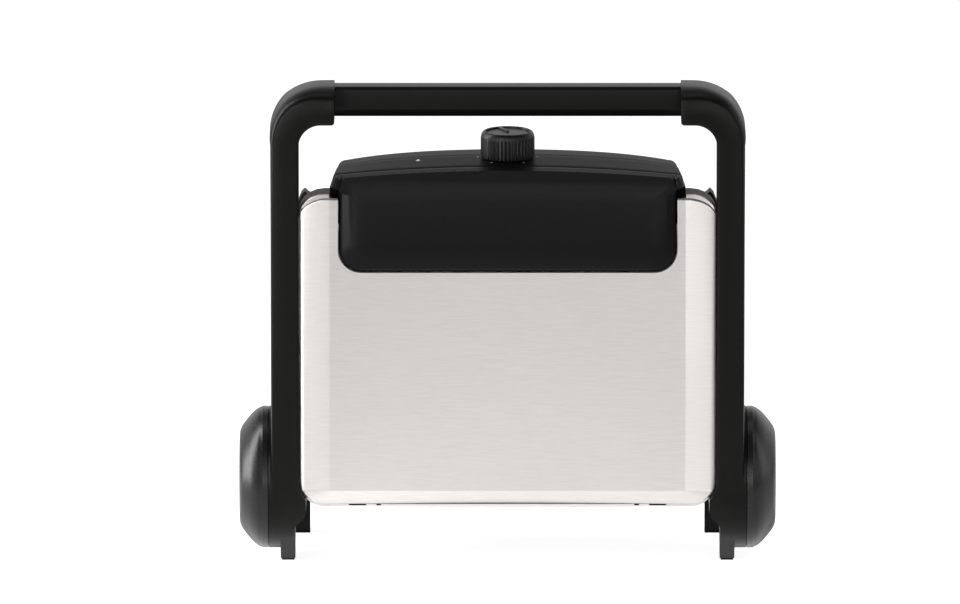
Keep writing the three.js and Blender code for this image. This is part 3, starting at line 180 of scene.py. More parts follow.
def metal(name, colour, roughness, grain=500, variation=0.1):
    material, tree, principled = new_material(name)
    fine = noise(tree, grain, detail=4, rough=0.6)
    dark = tuple(c * (1 - variation) for c in colour)
    light = tuple(min(1, c * (1 + variation)) for c in colour)
    tree.links.new(shade(tree, fine, dark, light), principled.inputs["Base Color"])
    tree.links.new(spread(tree, fine, roughness - 0.05, roughness + 0.06), principled.inputs["Roughness"])
    principled.inputs["Metallic"].default_value = 1
    bump(tree, principled, [(fine, 0.00001)])
    return material


STEEL_FOOT = (0.0575, 0.0587)  # heights in metres between which the smoother foot ends


def brushed_steel():
    """Stainless sheet brushed from side to side: long fine streaks over a finer grain. It is smoother
    along its foot, and draws a mirrored light out up and down."""
    material, tree, principled = new_material("brushed_steel")
    streaks = noise(tree, 1, (60, 150, 1300), detail=4, rough=0.7)
    fine = noise(tree, 1, (60, 200, 3600), detail=2)
    cloud = noise(tree, 7, detail=2)
    colour = shade(tree, streaks, (0.352, 0.339, 0.328), (0.505, 0.488, 0.475))
    tree.links.new(colour, principled.inputs["Base Color"])
    grain = (spread(tree, streaks, 0.33, 0.42), spread(tree, cloud, 0.0, 0.03))
    foot = remap(tree, upward(tree), *STEEL_FOOT, 0.42, 1.0)
    roughness = calculate(tree, "MULTIPLY", (calculate(tree, "ADD", grain), foot))
    tree.links.new(roughness, principled.inputs["Roughness"])
    principled.inputs["Metallic"].default_value = 1
    principled.inputs["Anisotropic"].default_value = 0.9
    along = add(tree, "ShaderNodeCombineXYZ")
    along.inputs["Z"].default_value = 1
    tree.links.new(along.outputs[0], principled.inputs["Tangent"])
    bump(tree, principled, [(streaks, 0.000008), (fine, 0.000003)])
    return material


def even(name, dark, light, roughness, grain, depth):
    """An even finish with a fine grain, for the lens and the pad-printed marks."""
    material, tree, principled = new_material(name)
    fine = noise(tree, grain)
    tree.links.new(shade(tree, fine, dark, light), principled.inputs["Base Color"])
    principled.inputs["Roughness"].default_value = roughness
    bump(tree, principled, [(fine, depth)])
    return material


ARM_BLACK = plastic("arm_black", linear(7, 6, 5), 0.33, 0.1)
GLOSS_BLACK = plastic("nose_black", linear(5, 5, 5), 0.31, 0.1, grain=2600, depth=0.000008)
SATIN_GREY = plastic("satin_grey", linear(8, 8, 8), 0.27, 0.27)
CONSOLE_GREY = plastic("console_grey", linear(11, 11, 10), 0.44, 0.021)
CAP_GREY = plastic("cap_grey", linear(74, 73, 72), 0.5, 0.35)
KNOB_BLACK = plastic("knob_black", linear(8, 8, 8), 0.4, 0.25)
SHELL_BLACK = plastic("shell_black", linear(16, 16, 16), 0.5, 0.15)
RUBBER = plastic("rubber", linear(18, 18, 18), 0.85, 0.2, grain=900, depth=0.00005)
NYLON = plastic("nylon", linear(214, 210, 198), 0.5, 0.5)
CERAMIC = plastic("ceramic", linear(226, 222, 212), 0.75, 0.4, grain=700, depth=0.00004)
PLATE_COAT = plastic("plate_coat", linear(30, 30, 31), 0.45, 0.5, grain=1200, depth=0.00006)
STEEL = brushed_steel()
ZINC = metal("zinc", (0.5, 0.51, 0.52), 0.38)
ELEMENT = metal("element", (0.12, 0.105, 0.095), 0.5, grain=300, variation=0.3)
LENS_CLEAR = even("clear_lens", (0.42, 0.41, 0.4), (0.55, 0.54, 0.53), 0.12, 900, 0.00001)
INK = even("mark_ink", (0.30, 0.295, 0.29), (0.40, 0.395, 0.39), 0.6, 2500, 0.000005)

SLOT_MATERIALS = {
    "black_plastic": SHELL_BLACK,
    "satin_plastic": SATIN_GREY,
    "brushed_steel": STEEL,
    "zinc_steel": ZINC,
    "cast_plate": PLATE_COAT,
    "element_steel": ELEMENT,
    "rubber_pads": RUBBER,
    "ceramic_body": CERAMIC,
    "nylon": NYLON,
    "clear_lens": LENS_CLEAR,
}
NODE_MATERIALS = {
    "right_arm": ARM_BLACK,
    "left_arm": ARM_BLACK,
    "handle_bar": ARM_BLACK,
    "nose": GLOSS_BLACK,
    "console": CONSOLE_GREY,
    "knob_cap": CAP_GREY,
}


def paint(piece, material):
    piece.data.materials.clear()
    piece.data.materials.append(material)


slots = {row["node"]: row["material_slot"] for row in frame["record"]["subparts"]}
for name, node in frame["nodes"].items():
    paint(node, NODE_MATERIALS.get(name, SLOT_MATERIALS[slots[name]]))


# Shapes, from rings of (x, y, z) points
def quarter(u, v, radius_u, radius_v, start, steps):
    """Points of an elliptical quarter turn about (u, v), from a quarter number to the next."""
    turns = [(start + i / steps) * math.pi / 2 for i in range(steps + 1)]
    return [(u + radius_u * math.cos(turn), v + radius_v * math.sin(turn)) for turn in turns]


def both_sides(right):
    """An outline in (x, z) from its right half."""
    return right + [(-x, z) for x, z in reversed(right)]


def each_side(x, z):
    return [(-x, z), (x, z)]


def mix(a, b, share):
    return a + (b - a) * share


def ease(share):
    return share * share * (3 - 2 * share)


def mesh_piece(name, points, faces):
    mesh = bpy.data.meshes.new(name)
    mesh.from_pydata([at(*point) for point in points], [], faces)
    shape = bmesh.new()
    shape.from_mesh(mesh)
    bmesh.ops.remove_doubles(shape, verts=shape.verts, dist=1e-7)
    bmesh.ops.recalc_face_normals(shape, faces=shape.faces)
    shape.to_mesh(mesh)
    shape.free()
    piece = bpy.data.objects.new(name, mesh)
    scene.collection.objects.link(piece)
    return piece


def loft(name, rings, closed=True):
    """A skin over rings with as many points each, with flat ends if closed."""
    count = len(rings[0])
    points = [point for ring in rings for point in ring]
    faces = []
    for row in range(len(rings) - 1):
        for i in range(count):
            j = (i + 1) % count
            faces.append((row * count + i, row * count + j, (row + 1) * count + j, (row + 1) * count + i))
    if closed:
        faces.append(tuple(range(count)))
        faces.append(tuple(range((len(rings) - 1) * count, len(rings) * count)))
    return mesh_piece(name, points, faces)


def prism(name, outline, axis, start, end):
    """An outline drawn out along X (outline in y, z), Y (x, z) or Z (x, y)."""
    place = {
        "X": lambda u, v, w: (w, u, v),
        "Y": lambda u, v, w: (u, w, v),
        "Z": lambda u, v, w: (u, v, w),
    }[axis]
    return loft(name, [[place(u, v, w) for u, v in outline] for w in (start, end)])


def block(name, x, y, z):
    return prism(name, [(x[0], z[0]), (x[1], z[0]), (x[1], z[1]), (x[0], z[1])], "Y", *y)


def turned(name, profile, axis, centre, sides):
    """A closed profile of (radius, place) pairs turned about a line along X, Y or Z."""
    rings = []
    for i in range(sides):
        turn = 2 * math.pi * i / sides
        ring = []
        for radius, place in profile:
            a, b = centre[0] + radius * math.cos(turn), centre[1] + radius * math.sin(turn)
            ring.append({"X": (place, a, b), "Y": (a, place, b), "Z": (a, b, place)}[axis])
        rings.append(ring)
    count = len(profile)
    points = [point for ring in rings for point in ring]
    faces = []
    for i in range(sides):
        j = (i + 1) % sides
        for k in range(count - 1):
            faces.append((i * count + k, j * count + k, j * count + k + 1, i * count + k + 1))
    return mesh_piece(name, points, faces)


def rod(name, axis, radius, start, end, centre, sides=64):
    return turned(name, [(0, start), (radius, start), (radius, end), (0, end)], axis, centre, sides)


def combine(piece, tools, operation="DIFFERENCE"):
    """Cuts the tools from the piece, or joins them to it, and removes the tools."""
    for tool in tools:
        change = piece.modifiers.new(tool.name, "BOOLEAN")
        change.object = tool
        change.operation = operation
        change.solver = "MANIFOLD"
    bpy.context.view_layer.update()
    shaped = piece.evaluated_get(bpy.context.evaluated_depsgraph_get())
    mesh = bpy.data.meshes.new_from_object(shaped)
    piece.modifiers.clear()
    old = piece.data
    piece.data = mesh
    bpy.data.meshes.remove(old)
    for tool in tools:
        bpy.data.meshes.remove(tool.data)
    return piece


def smooth(piece, degrees=32):
    piece.data.shade_smooth()
    piece.data.set_sharp_from_angle(angle=math.radians(degrees))


def soften(piece, width, degrees):
    """Small rounds along the sharp edges."""
    bevel = piece.modifiers.new("edges", "BEVEL")
    bevel.width = width * MM
    bevel.segments = 2
    bevel.limit_method = "ANGLE"
    bevel.angle_limit = math.radians(degrees)
    bevel.harden_normals = True
    bevel.miter_outer = "MITER_ARC"


def dress(piece, body, material, slot, *nodes, edge=0, degrees=32):
    """Finishes a visual piece and puts it on its body in place of CAD nodes."""
    smooth(piece, degrees)
    if edge:
        soften(piece, edge, degrees)
    paint(piece, material)
    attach(piece, body)
    if nodes:
        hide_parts(*nodes)
    return piece


def mirrored(piece, name):
    """The same shape on the other side."""
    mesh = piece.data.copy()
    mesh.transform(Matrix.Scale(-1, 4, Vector((1, 0, 0))))
    mesh.flip_normals()
    other = bpy.data.objects.new(name, mesh)
    scene.collection.objects.link(other)
    return other


def dress_pair(right, material, slot, node, **finish):
    """Dresses a piece of the handle frame and the same shape on the other side."""
    left = mirrored(right, right.name.replace("right", "left"))
    for side, piece in (("right", right), ("left", left)):
        dress(piece, "handle_frame", material, slot, f"{side}_{node}", **finish)


# Hub caps: a flat band at the seam, a soft crease and one long round to the outer face
HUB_Y, HUB_Z, HUB_R = 50.2, 58.3, 50.2
SEAM_X, FACE_X = 169.2, 190.0
# The small round along the seam, of the cap and of the arm: how far in from the rim and from the seam
SEAM_ROUND = [(0.25, 0), (0.07, 0.07), (0, 0.25)]
# The cap's outside from its crease to its slightly domed face: radius and place
CAP_LINE = [
    (HUB_R, 173.1),
    (49.7, 174.1),
    (48.4, 176.8),
    (45.2, 180.6),
    (40.9, 184.3),
    (37.3, 187.0),
    (35.1, 188.3),
    (32.6, 189.2),
    (29.0, 189.6),
    (18.0, 189.85),
]


def on_curve(a, b, c, d, share):
    """A value of the curve that comes from a, runs from b to c and goes on to d."""
    square = (2 * a - 5 * b + 4 * c - d) * share**2
    cube = (3 * b - a - 3 * c + d) * share**3
    return 0.5 * (2 * b + (c - a) * share + square + cube)


def smooth_line(points, steps):
    """A curve through the points, with a few more between each pair."""
    line = []
    for i in range(len(points) - 1):
        near = [points[min(max(i + k, 0), len(points) - 1)] for k in (-1, 0, 1, 2)]
        for step in range(steps):
            line.append(tuple(on_curve(*values, step / steps) for values in zip(*near)))
    return line + [points[-1]]


def make_hub_cap():
    profile = [(0, SEAM_X)] + [(HUB_R - rim, SEAM_X + seam) for rim, seam in SEAM_ROUND]
    profile += smooth_line(CAP_LINE, 5) + [(0, FACE_X)]
    return turned("right_hub_cap_shell", profile, "X", (HUB_Y, HUB_Z), 160)


dress_pair(make_hub_cap(), SATIN_GREY, "satin_plastic", "hub_cap", degrees=14)

# Arms: the upper run from the elbow to the hub, the hub's inner disc, the flare behind it and the foot tab
ARM_X, ARM_WIDTH, ARM_DEPTH, ARM_LOW_DEPTH = 147.2, 19.75, 41.0, 44.0
FLARE_R, FLARE_FRONT = 45.0, 20.0
ELBOW_X, ELBOW_Z, CORNER_R = 121.85, 321.7, 15.6
BOSS_X, WEB_X, CAVITY_R, BAND_X = 142.4, 152.2, 39.0, 168.9
TAB_X, TAB_Y, TAB_FOOT = (150.1, 160.45), 40.0, 12.0
# Elbow sections from the end round the corner to the arm: height, front round (out and deep)
SECTIONS = [(25.3, 7.5, 20.0), (24.6, 5.7, 14.0), (19.95, 2.4, 8.0), (19.75, 1.4, 5.0)]
# Radii of bores, the lid's float pin in (y, z), the end of its bore and how deep the bar stands in
SCREW_R, SCREW_HEAD_R, BUSH_R, FLOAT_R = 2.1, 3.7, 7.3, 4.3
FLOAT_PIN, FLOAT_END_X, SOCKET = (31, 154.9), 159.5, 12.3
INWARD_X = 100  # well inside the arms, where cuts into them start
LID_GAP = 0.35


def arm_section(x, z, turn, stage, depth, shrink=0.0):
    """A ring of the arm. stage counts through SECTIONS and shrink draws the ring in all round."""
    low = min(int(stage), 2)
    width, out, deep = (mix(a, b, stage - low) for a, b in zip(SECTIONS[low], SECTIONS[low + 1]))
    inner, width, rear = 0.9 + shrink, width - shrink, 3.0
    flat = [(inner, 0.25 + shrink), (inner + 0.65, shrink)]
    lean = math.radians(mix(9, 0, min(1, stage / 2)))
    for i in range(13):
        angle = mix(lean, math.pi / 2, i / 12)
        u = (math.sin(angle) - math.sin(lean)) / (1 - math.sin(lean))
        v = math.cos(angle) / math.cos(lean)
        flat.append((width - out + out * u, shrink + deep * (1 - v)))
    flat += quarter(width - rear, depth - shrink - rear, rear, rear, 0, 6)
    flat += [(0.8 + shrink, depth - shrink), (shrink, depth - shrink - 0.8), (shrink, 0.9 + shrink)]
    return [(x + u * math.cos(turn), y, z + u * math.sin(turn)) for u, y in flat]


def arm_run():
    corner_x, corner_z = ARM_X - CORNER_R, ELBOW_Z - CORNER_R
    rings = [
        arm_section(ELBOW_X + along, ELBOW_Z, math.pi / 2, 0, ARM_DEPTH, shrink)
        for along, shrink in ((0, 0.45), (0.13, 0.13), (0.45, 0))
    ]
    steps = 26
    for i in range(steps + 1):
        share = i / steps
        turn = math.pi / 2 * (1 - share)
        x, z = corner_x + CORNER_R * math.cos(turn), corner_z + CORNER_R * math.sin(turn)
        rings.append(arm_section(x, z, turn, mix(0.2, 2, share), ARM_DEPTH))
    for share in (0.2, 0.45, 0.7, 1.0):
        rings.append(arm_section(ARM_X, corner_z - 70 * share, 0, mix(2, 3, ease(share)), ARM_DEPTH))
    bend = HUB_Z + HUB_R + FLARE_R
    rings.append(arm_section(ARM_X, bend, 0, 3, ARM_LOW_DEPTH))
    rings.append(arm_section(ARM_X, HUB_Z, 0, 3, ARM_LOW_DEPTH))
    return loft("right_arm_body", rings)


def arm_flare():
    across = ARM_LOW_DEPTH + FLARE_R - HUB_Y
    reach = HUB_R + FLARE_R
    up = math.sqrt(reach**2 - across**2)
    centre = (HUB_Y + across, HUB_Z + up)
    end = math.atan2(-up, -across)
    curve = []
    for i in range(21):
        turn = mix(-math.pi, end, i / 20)
        curve.append((centre[0] + FLARE_R * math.cos(turn), centre[1] + FLARE_R * math.sin(turn)))
    outline = [(FLARE_FRONT, HUB_Z), (FLARE_FRONT, centre[1])] + curve + [(HUB_Y, HUB_Z)]
    return prism("flare", outline, "X", ARM_X, ARM_X + ARM_WIDTH - 1.4)


def arm_foot():
    dy, dz = TAB_Y - HUB_Y, -HUB_Z
    turn = math.atan2(dz, dy) - math.acos(HUB_R / math.hypot(dy, dz))
    touch_y, touch_z = HUB_Y + HUB_R * math.cos(turn), HUB_Z + HUB_R * math.sin(turn)
    foot_z, clearance = 1.8, 8.1
    lean = (TAB_Y - touch_y) / touch_z
    outline = [
        (touch_y, touch_z),
        (TAB_Y - foot_z * lean, foot_z),
        (TAB_Y + TAB_FOOT, foot_z),
        (TAB_Y + TAB_FOOT + clearance, 2 * clearance),
        (HUB_Y, HUB_Z),
    ]
    return prism("foot", outline, "X", *TAB_X)


def inner_edge():
    """Room that gives the hub's inner face its curve from the tab to the boss."""
    curve = []
    for i in range(25):
        share = i / 24
        curve.append((mix(TAB_X[0], BOSS_X, ease(ease(share))), mix(26.8, 43.8, share)))
    outline = [(INWARD_X, -4), (TAB_X[0], -4)] + curve + [(BOSS_X, HUB_Z), (INWARD_X, HUB_Z)]
    return prism("inner_edge", outline, "Y", -4, 110)


def plate_outline(half, bottom, top, round_top, rise, round_bottom, inset):
    low, side, high = (max(value - inset, 0.3) for value in (round_bottom, round_top, rise))
    x = half - inset
    right = quarter(x - low, bottom + inset + low, low, low, -1, 14)
    return both_sides(right + quarter(x - side, top - inset - high, side, high, 0, 14))


# The lid's plate: half width, bottom, top, its upper round (across and up) and its lower one
COVER = (146.85, 45.8, 270.8, 18.0, 14.5, 18.0)
BAR_Y, BAR_Z, BAR_DEEP, BAR_HIGH, TENON = 20.0, 345.35, 19.0, 21.6, 12
BAR_SCREW = (127.85, 334.55)


def bar_outline(inset, edge=0.5):
    y0, y1 = BAR_Y + inset, BAR_Y + BAR_DEEP - inset
    z0, z1 = BAR_Z - BAR_HIGH + inset, BAR_Z - inset
    corners = [
        (y0 + 4.1, z0),
        (y1 - 2.5, z0),
        (y1, z0 + 2.5),
        (y1, z1 - 2.5),
        (y1 - 2.5, z1),
        (y0 + 1.8, z1),
        (y0, z1 - 1.8),
        (y0, z0 + 6.3),
    ]
    if not edge:
        return corners
    return rounded(corners, edge)


def rounded(corners, radius):
    """The outline with each corner replaced by a short curve that reaches radius along both edges."""
    outline = []
    for i, here in enumerate(corners):
        before, after = Vector(corners[i - 1]), Vector(corners[(i + 1) % len(corners)])
        here = Vector(here)
        reach = min(radius, (before - here).length * 0.45, (after - here).length * 0.45)
        start, end = here + (before - here).normalized() * reach, here + (after - here).normalized() * reach
        for share in (0, 1 / 3, 2 / 3, 1):
            point = start * (1 - share) ** 2 + here * (2 * share * (1 - share)) + end * share**2
            outline.append(tuple(point))
    return outline


def end_corner():
    """Room that rounds the lower corner of the elbow's end."""
    radius = 2.6
    x, z = ELBOW_X, ELBOW_Z
    curve = quarter(x + radius, z + radius, radius, radius, 2, 8)
    outline = [(x - 1, z + radius)] + curve + [(x + radius, z - 1), (x - 1, z - 1)]
    return prism("end_corner", outline, "Y", -2, 50)


def make_arm():
    arm = arm_run()
    band = [(HUB_R - rim, BAND_X - seam) for rim, seam in reversed(SEAM_ROUND)] + [(0, BAND_X)]
    profile = [(0, BOSS_X), (HUB_R - 0.4, BOSS_X), (HUB_R, BOSS_X + 0.4)] + band
    disc = turned("disc", profile, "X", (HUB_Y, HUB_Z), 160)
    combine(arm, [arm_flare(), disc, arm_foot()], "UNION")
    behind = ARM_DEPTH + 2
    cutters = [
        prism("lid_room", plate_outline(*COVER, -LID_GAP), "Y", -2, 46),
        inner_edge(),
        rod("cavity", "X", CAVITY_R, WEB_X, FACE_X, (HUB_Y, HUB_Z), 96),
        rod("bush_bore", "X", BUSH_R, INWARD_X, FACE_X, (HUB_Y, HUB_Z)),
        prism("socket", bar_outline(2.7, 0), "X", INWARD_X, ELBOW_X + SOCKET),
        rod("screw_hole", "Y", SCREW_R, BAR_Y, behind, BAR_SCREW, 24),
        rod("head_hole", "Y", SCREW_HEAD_R, ARM_DEPTH - 1.8, behind, BAR_SCREW, 32),
        end_corner(),
        rod("float_bore", "X", FLOAT_R, INWARD_X, FLOAT_END_X, FLOAT_PIN, 32),
    ]
    return combine(arm, cutters)


dress_pair(make_arm(), ARM_BLACK, "black_plastic", "arm", edge=0.55, degrees=34)


def make_handle_bar():
    half = ELBOW_X - 0.02
    bar = prism("handle_bar_grip", bar_outline(0), "X", -half, half)
    tenon = prism("tenon", bar_outline(3, 0), "X", -half - TENON, half + TENON)
    combine(bar, [tenon], "UNION")
    middle = BAR_Y + BAR_DEEP / 2
    holes = [rod("hole", "Y", SCREW_R, middle, ARM_DEPTH, place, 16) for place in each_side(*BAR_SCREW)]
    return combine(bar, holes)


dress(make_handle_bar(), "handle_frame", ARM_BLACK, "black_plastic", "handle_bar", degrees=14)


# The arched front: how far the top has dropped at a place to the side
BOW_DROP, BOW_HALF = 5.6, 118.7


def bow(x):
    return BOW_DROP * (x / BOW_HALF) ** 2


def arched_top(half, top, edge, extra=0.0):
    """The right half of the top, from its rounded corner to the middle."""

    def height(x):
        return top - bow(x) - extra * (x / BOW_HALF) ** 4

    shoulder = half - edge
    centre_z = height(shoulder) - edge
    side = quarter(shoulder, centre_z, edge, edge, 0, 6)
    places = [shoulder * (1 - i / 16) for i in range(1, 16)]
    return side + [(x, height(x)) for x in places]


# Nose: a pillowed panel over an upper part that closes towards the console
NOSE_FRONT, NOSE_BACK, NOSE_SEAM, UPPER_FRONT = 0.4, 8.6, 18.2, 2.6
NOSE_BOTTOM, NOSE_TOP, TOP_EDGE = 216.1, 289.0, 2.6
NOSE_HALF, NOSE_FOOT_HALF, NOSE_REAR_HALF = 118.7, 119.0, 125.2
NOSE_ROUND, SHOULDER_Z, SHOULDER_R, SIDE_LEAN = 16.3, 271.6, 4.0, 2.2
NOSE_SCREW, WALL = (90.8, 260.0), 2.4
CROWN_Z, CROWN = 232.0, 2.4
# The panel from its flat middle to its rim: how far in from the outline and how deep
PANEL_FLAT, RIM_DEEP, RIM_ROUND = 22, 2.3, (3.0, 2.5)
PILLOW = [
    (19, 0.03),
    (16, 0.14),
    (13, 0.36),
    (10.5, 0.68),
    (8, 1.08),
    (6, 1.47),
    (4.5, 1.81),
    (3.4, 2.1),
]
DECK_FACING, DECK_LOW = 0.85, 275  # faces that look up more than this, above this height


def crown(z, y):
    """How far the front of the nose leans back towards its top."""
    if y <= NOSE_FRONT - 1:
        return 0.0
    share = max(0.0, (z - CROWN_Z) / (NOSE_TOP - CROWN_Z))
    fade = max(0.0, 1 - (y - NOSE_FRONT) / (NOSE_BACK - NOSE_FRONT))
    return CROWN * share**2 * fade


def nose_ring(y, inset, grow=0.0):
    half = NOSE_FOOT_HALF - inset + grow
    low = max(NOSE_ROUND - inset * 0.6, 1)
    foot = quarter(half - low, NOSE_BOTTOM + inset - grow + low, low, low, -1, 12)
    edge = max(TOP_EDGE - inset * 0.5, 0.5)
    head = arched_top(NOSE_HALF - inset + grow, NOSE_TOP - inset + grow, edge)
    return [(x, y + crown(z, y), z) for x, z in both_sides(foot + head)]


def upper_nose_ring(y, inset):
    share = (y - UPPER_FRONT) / (NOSE_SEAM - UPPER_FRONT)
    half = mix(NOSE_HALF, NOSE_REAR_HALF, share) - inset
    low = SHOULDER_R
    foot = quarter(half - low, SHOULDER_Z + inset + low, low, low, -1, 8)
    head = arched_top(half - SIDE_LEAN, NOSE_TOP - inset, TOP_EDGE)
    return [(x, y, z) for x, z in both_sides(foot + head)]


def make_nose():
    rings = [nose_ring(NOSE_FRONT, PANEL_FLAT)]
    rings += [nose_ring(NOSE_FRONT + deep, inset) for inset, deep in PILLOW]
    across, along = RIM_ROUND
    for degrees in (72, 54, 38, 24, 12, 0):
        turn = math.radians(degrees)
        y = NOSE_FRONT + RIM_DEEP + along * (1 - math.sin(turn))
        rings.append(nose_ring(y, across * (1 - math.cos(turn))))
    rings.append(nose_ring(NOSE_BACK, 0))
    nose = loft("nose_shell", rings)
    upper_rings = [upper_nose_ring(y, 0) for y in (UPPER_FRONT, 8, 13, NOSE_SEAM - 1.1)]
    upper_rings += [upper_nose_ring(NOSE_SEAM - 0.5, 0.2), upper_nose_ring(NOSE_SEAM, 0.8)]
    combine(nose, [loft("nose_upper", upper_rings)], "UNION")
    upper_inside = [upper_nose_ring(y, WALL) for y in (UPPER_FRONT + WALL, NOSE_SEAM + 2)]
    panel_inside = [nose_ring(y, WALL) for y in (NOSE_FRONT + WALL + 1.3, NOSE_BACK + 2)]
    insides = [loft("nose_upper_inside", upper_inside), loft("nose_panel_inside", panel_inside)]
    combine(nose, insides)
    post = [(2.1, 4), (5.2, 2.4), (5.2, 9.7), (2.1, 9.7), (2.1, 4)]
    return combine(nose, [turned("post", post, "Y", place, 40) for place in each_side(*NOSE_SCREW)], "UNION")


def match_deck(nose):
    """The nose's top has the finish of the console behind it."""
    nose.data.materials.append(CONSOLE_GREY)
    for face in nose.data.polygons:
        if face.normal.z > DECK_FACING and face.center.z > at(0, 0, DECK_LOW).z:
            face.material_index = 1


match_deck(dress(make_nose(), "lid", GLOSS_BLACK, "black_plastic", "nose", degrees=24))

# Console: level up to the crease, then falling to a rounded rear end
CONSOLE_FRONT, CREASE_Y, REAR_Y, END_Y = 18.5, 58.5, 100.0, 108.0
FOOT_Z, REAR_DROP, REAR_EDGE, CONSOLE_WALL = 267.2, 4.4, 6.0, 2.5
CONSOLE_HALF, LEAN_HIGH, REAR_BOW, NARROWING = (125.4, 122.4), 6.5, 3.1, 1.35
# The tub of the base shell under the console
TUB_RIM, TUB_FLOOR, TUB_TOP, TUB_DRAFT = 46.0, 125.0, 263.5, 13.0
KNOB_Y, SHAFT_HOLE_R = 49.5, 5.8
LENS, LENS_R = (-63.1, 46.5), 1.6


def console_foot(y):
    if y < TUB_RIM:
        return FOOT_Z
    return TUB_TOP - TUB_DRAFT * (y - TUB_RIM) / (TUB_FLOOR - TUB_RIM) + 0.4


def console_ring(y, inset=0.0, foot=None, drop=0.0):
    share = (y - CONSOLE_FRONT) / (REAR_Y - CONSOLE_FRONT)
    eased = min(share * NARROWING, 1)
    half = mix(*CONSOLE_HALF, eased) - inset
    fall = max(0, y - CREASE_Y) / (REAR_Y - CREASE_Y)
    end = max(0, (y - REAR_Y) / (END_Y - REAR_Y))
    round_end = (END_Y - REAR_Y) * (1 - math.sqrt(max(0, 1 - end * end)))
    top = NOSE_TOP - REAR_DROP * fall - round_end - inset - drop
    edge = mix(TOP_EDGE, REAR_EDGE, min(share, 1))
    head = arched_top(half - SIDE_LEAN, top, edge, REAR_BOW * eased)
    base = console_foot(y) if foot is None else foot
    return [(x, y, z) for x, z in both_sides([(half, base), (half, head[0][1] - LEAN_HIGH)] + head)]


def deck_height(x, y):
    return NOSE_TOP - bow(x) - REAR_DROP * max(0, y - CREASE_Y) / (REAR_Y - CREASE_Y)


def make_console():
    rings = [console_ring(CONSOLE_FRONT, 0.8), console_ring(CONSOLE_FRONT + 0.5, 0.2)]
    rings.append(console_ring(CONSOLE_FRONT + 1.1))
    rings += [console_ring(y) for y in (26, 36, TUB_RIM - 0.3, TUB_RIM + 0.3, 52, CREASE_Y - 1.2)]
    rings.append(console_ring(CREASE_Y, drop=0.3))
    rings += [console_ring(y) for y in (CREASE_Y + 1.2, 70, 85, REAR_Y)]
    rings += [console_ring(mix(REAR_Y, END_Y, s)) for s in (0.3, 0.5, 0.68, 0.82, 0.92, 0.98, 1)]
    console = loft("console_shell", rings)
    wall = CONSOLE_WALL
    inner = [CONSOLE_FRONT + wall, CREASE_Y, REAR_Y, END_Y - wall]
    inside = loft("console_inside", [console_ring(y, wall, console_foot(y) + wall) for y in inner])
    depth, height = (60, REAR_Y - wall), (TUB_TOP - TUB_DRAFT - 2, SHOULDER_Z)
    mouth = block("console_mouth", (-99.5, 99.5), depth, height)
    above = NOSE_TOP + 2
    holes = [
        rod("shaft_hole", "Z", SHAFT_HOLE_R, SHOULDER_Z, above, (0, KNOB_Y), 48),
        rod("lens_hole", "Z", LENS_R + 0.25, SHOULDER_Z, above, LENS, 40),
    ]
    return combine(console, [inside, mouth] + holes)


dress(make_console(), "base", CONSOLE_GREY, "satin_plastic", "console", degrees=24)


def dial_marks():
    """Six pale dots round the knob, where its pointer stops, over its turn."""
    ring, dot_r, high = 21.2, 0.95, 0.05
    for i, turn in enumerate((32.3, 97, 161.7, -32.3, -97, -161.7)):
        angle = math.radians(turn - 90)
        x, y = ring * math.cos(angle), KNOB_Y + ring * math.sin(angle)
        top = deck_height(x, y)
        profile = [(0, top - high), (dot_r, top - high), (dot_r, top + 0.02)]
        profile += [(dot_r - 0.1, top + high), (0, top + high)]
        dot = turned(f"dial_dot_{i + 1}", profile, "Z", (x, y), 24)
        smooth(dot)
        paint(dot, INK)
        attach(dot, "base")


dial_marks()


def lens_dome():
    deck = deck_height(*LENS)
    low, flange, flange_r, dome = deck - 8, deck - 3.1, 2.6, 0.6
    profile = [(0, low), (flange_r, low), (flange_r, flange), (LENS_R, flange), (LENS_R, deck)]
    profile += [(1.4 * math.cos(t), deck + dome * math.sin(t)) for t in (0.3, 0.6, 0.9, 1.2, 1.4)]
    profile += [(0, deck + dome)]
    return turned("lens_dome", profile, "Z", LENS, 40)


dress(lens_dome(), "base", LENS_CLEAR, "clear_lens", "indicator_lens")

# Knob: a fluted skirt under a dome with a recess, and the cap with its pointer ridge
KNOB_R, KNOB_LOW, KNOB_HIGH, RIM_R, RECESS_R = 19.05, 289.6, 308.2, 16.1, 15.4
KNOB_INSIDE_R, RECESS_DEEP = 14.6, 2.2
RIBS, GROOVE, DOME, POINTER_TURN = 44, 0.62, 5.4, math.radians(112)


def knob_ring(z, radius, groove):
    """A ring of the skirt, with a groove between every two ribs."""
    points = []
    count = RIBS * 8
    for i in range(count):
        phase = (i % 8) / 8
        wave = max(0.0, math.cos(2 * math.pi * (phase - 0.5))) ** 0.8
        turn = 2 * math.pi * i / count
        r = radius - groove * wave
        points.append((r * math.cos(turn), KNOB_Y + r * math.sin(turn), z))
    return points


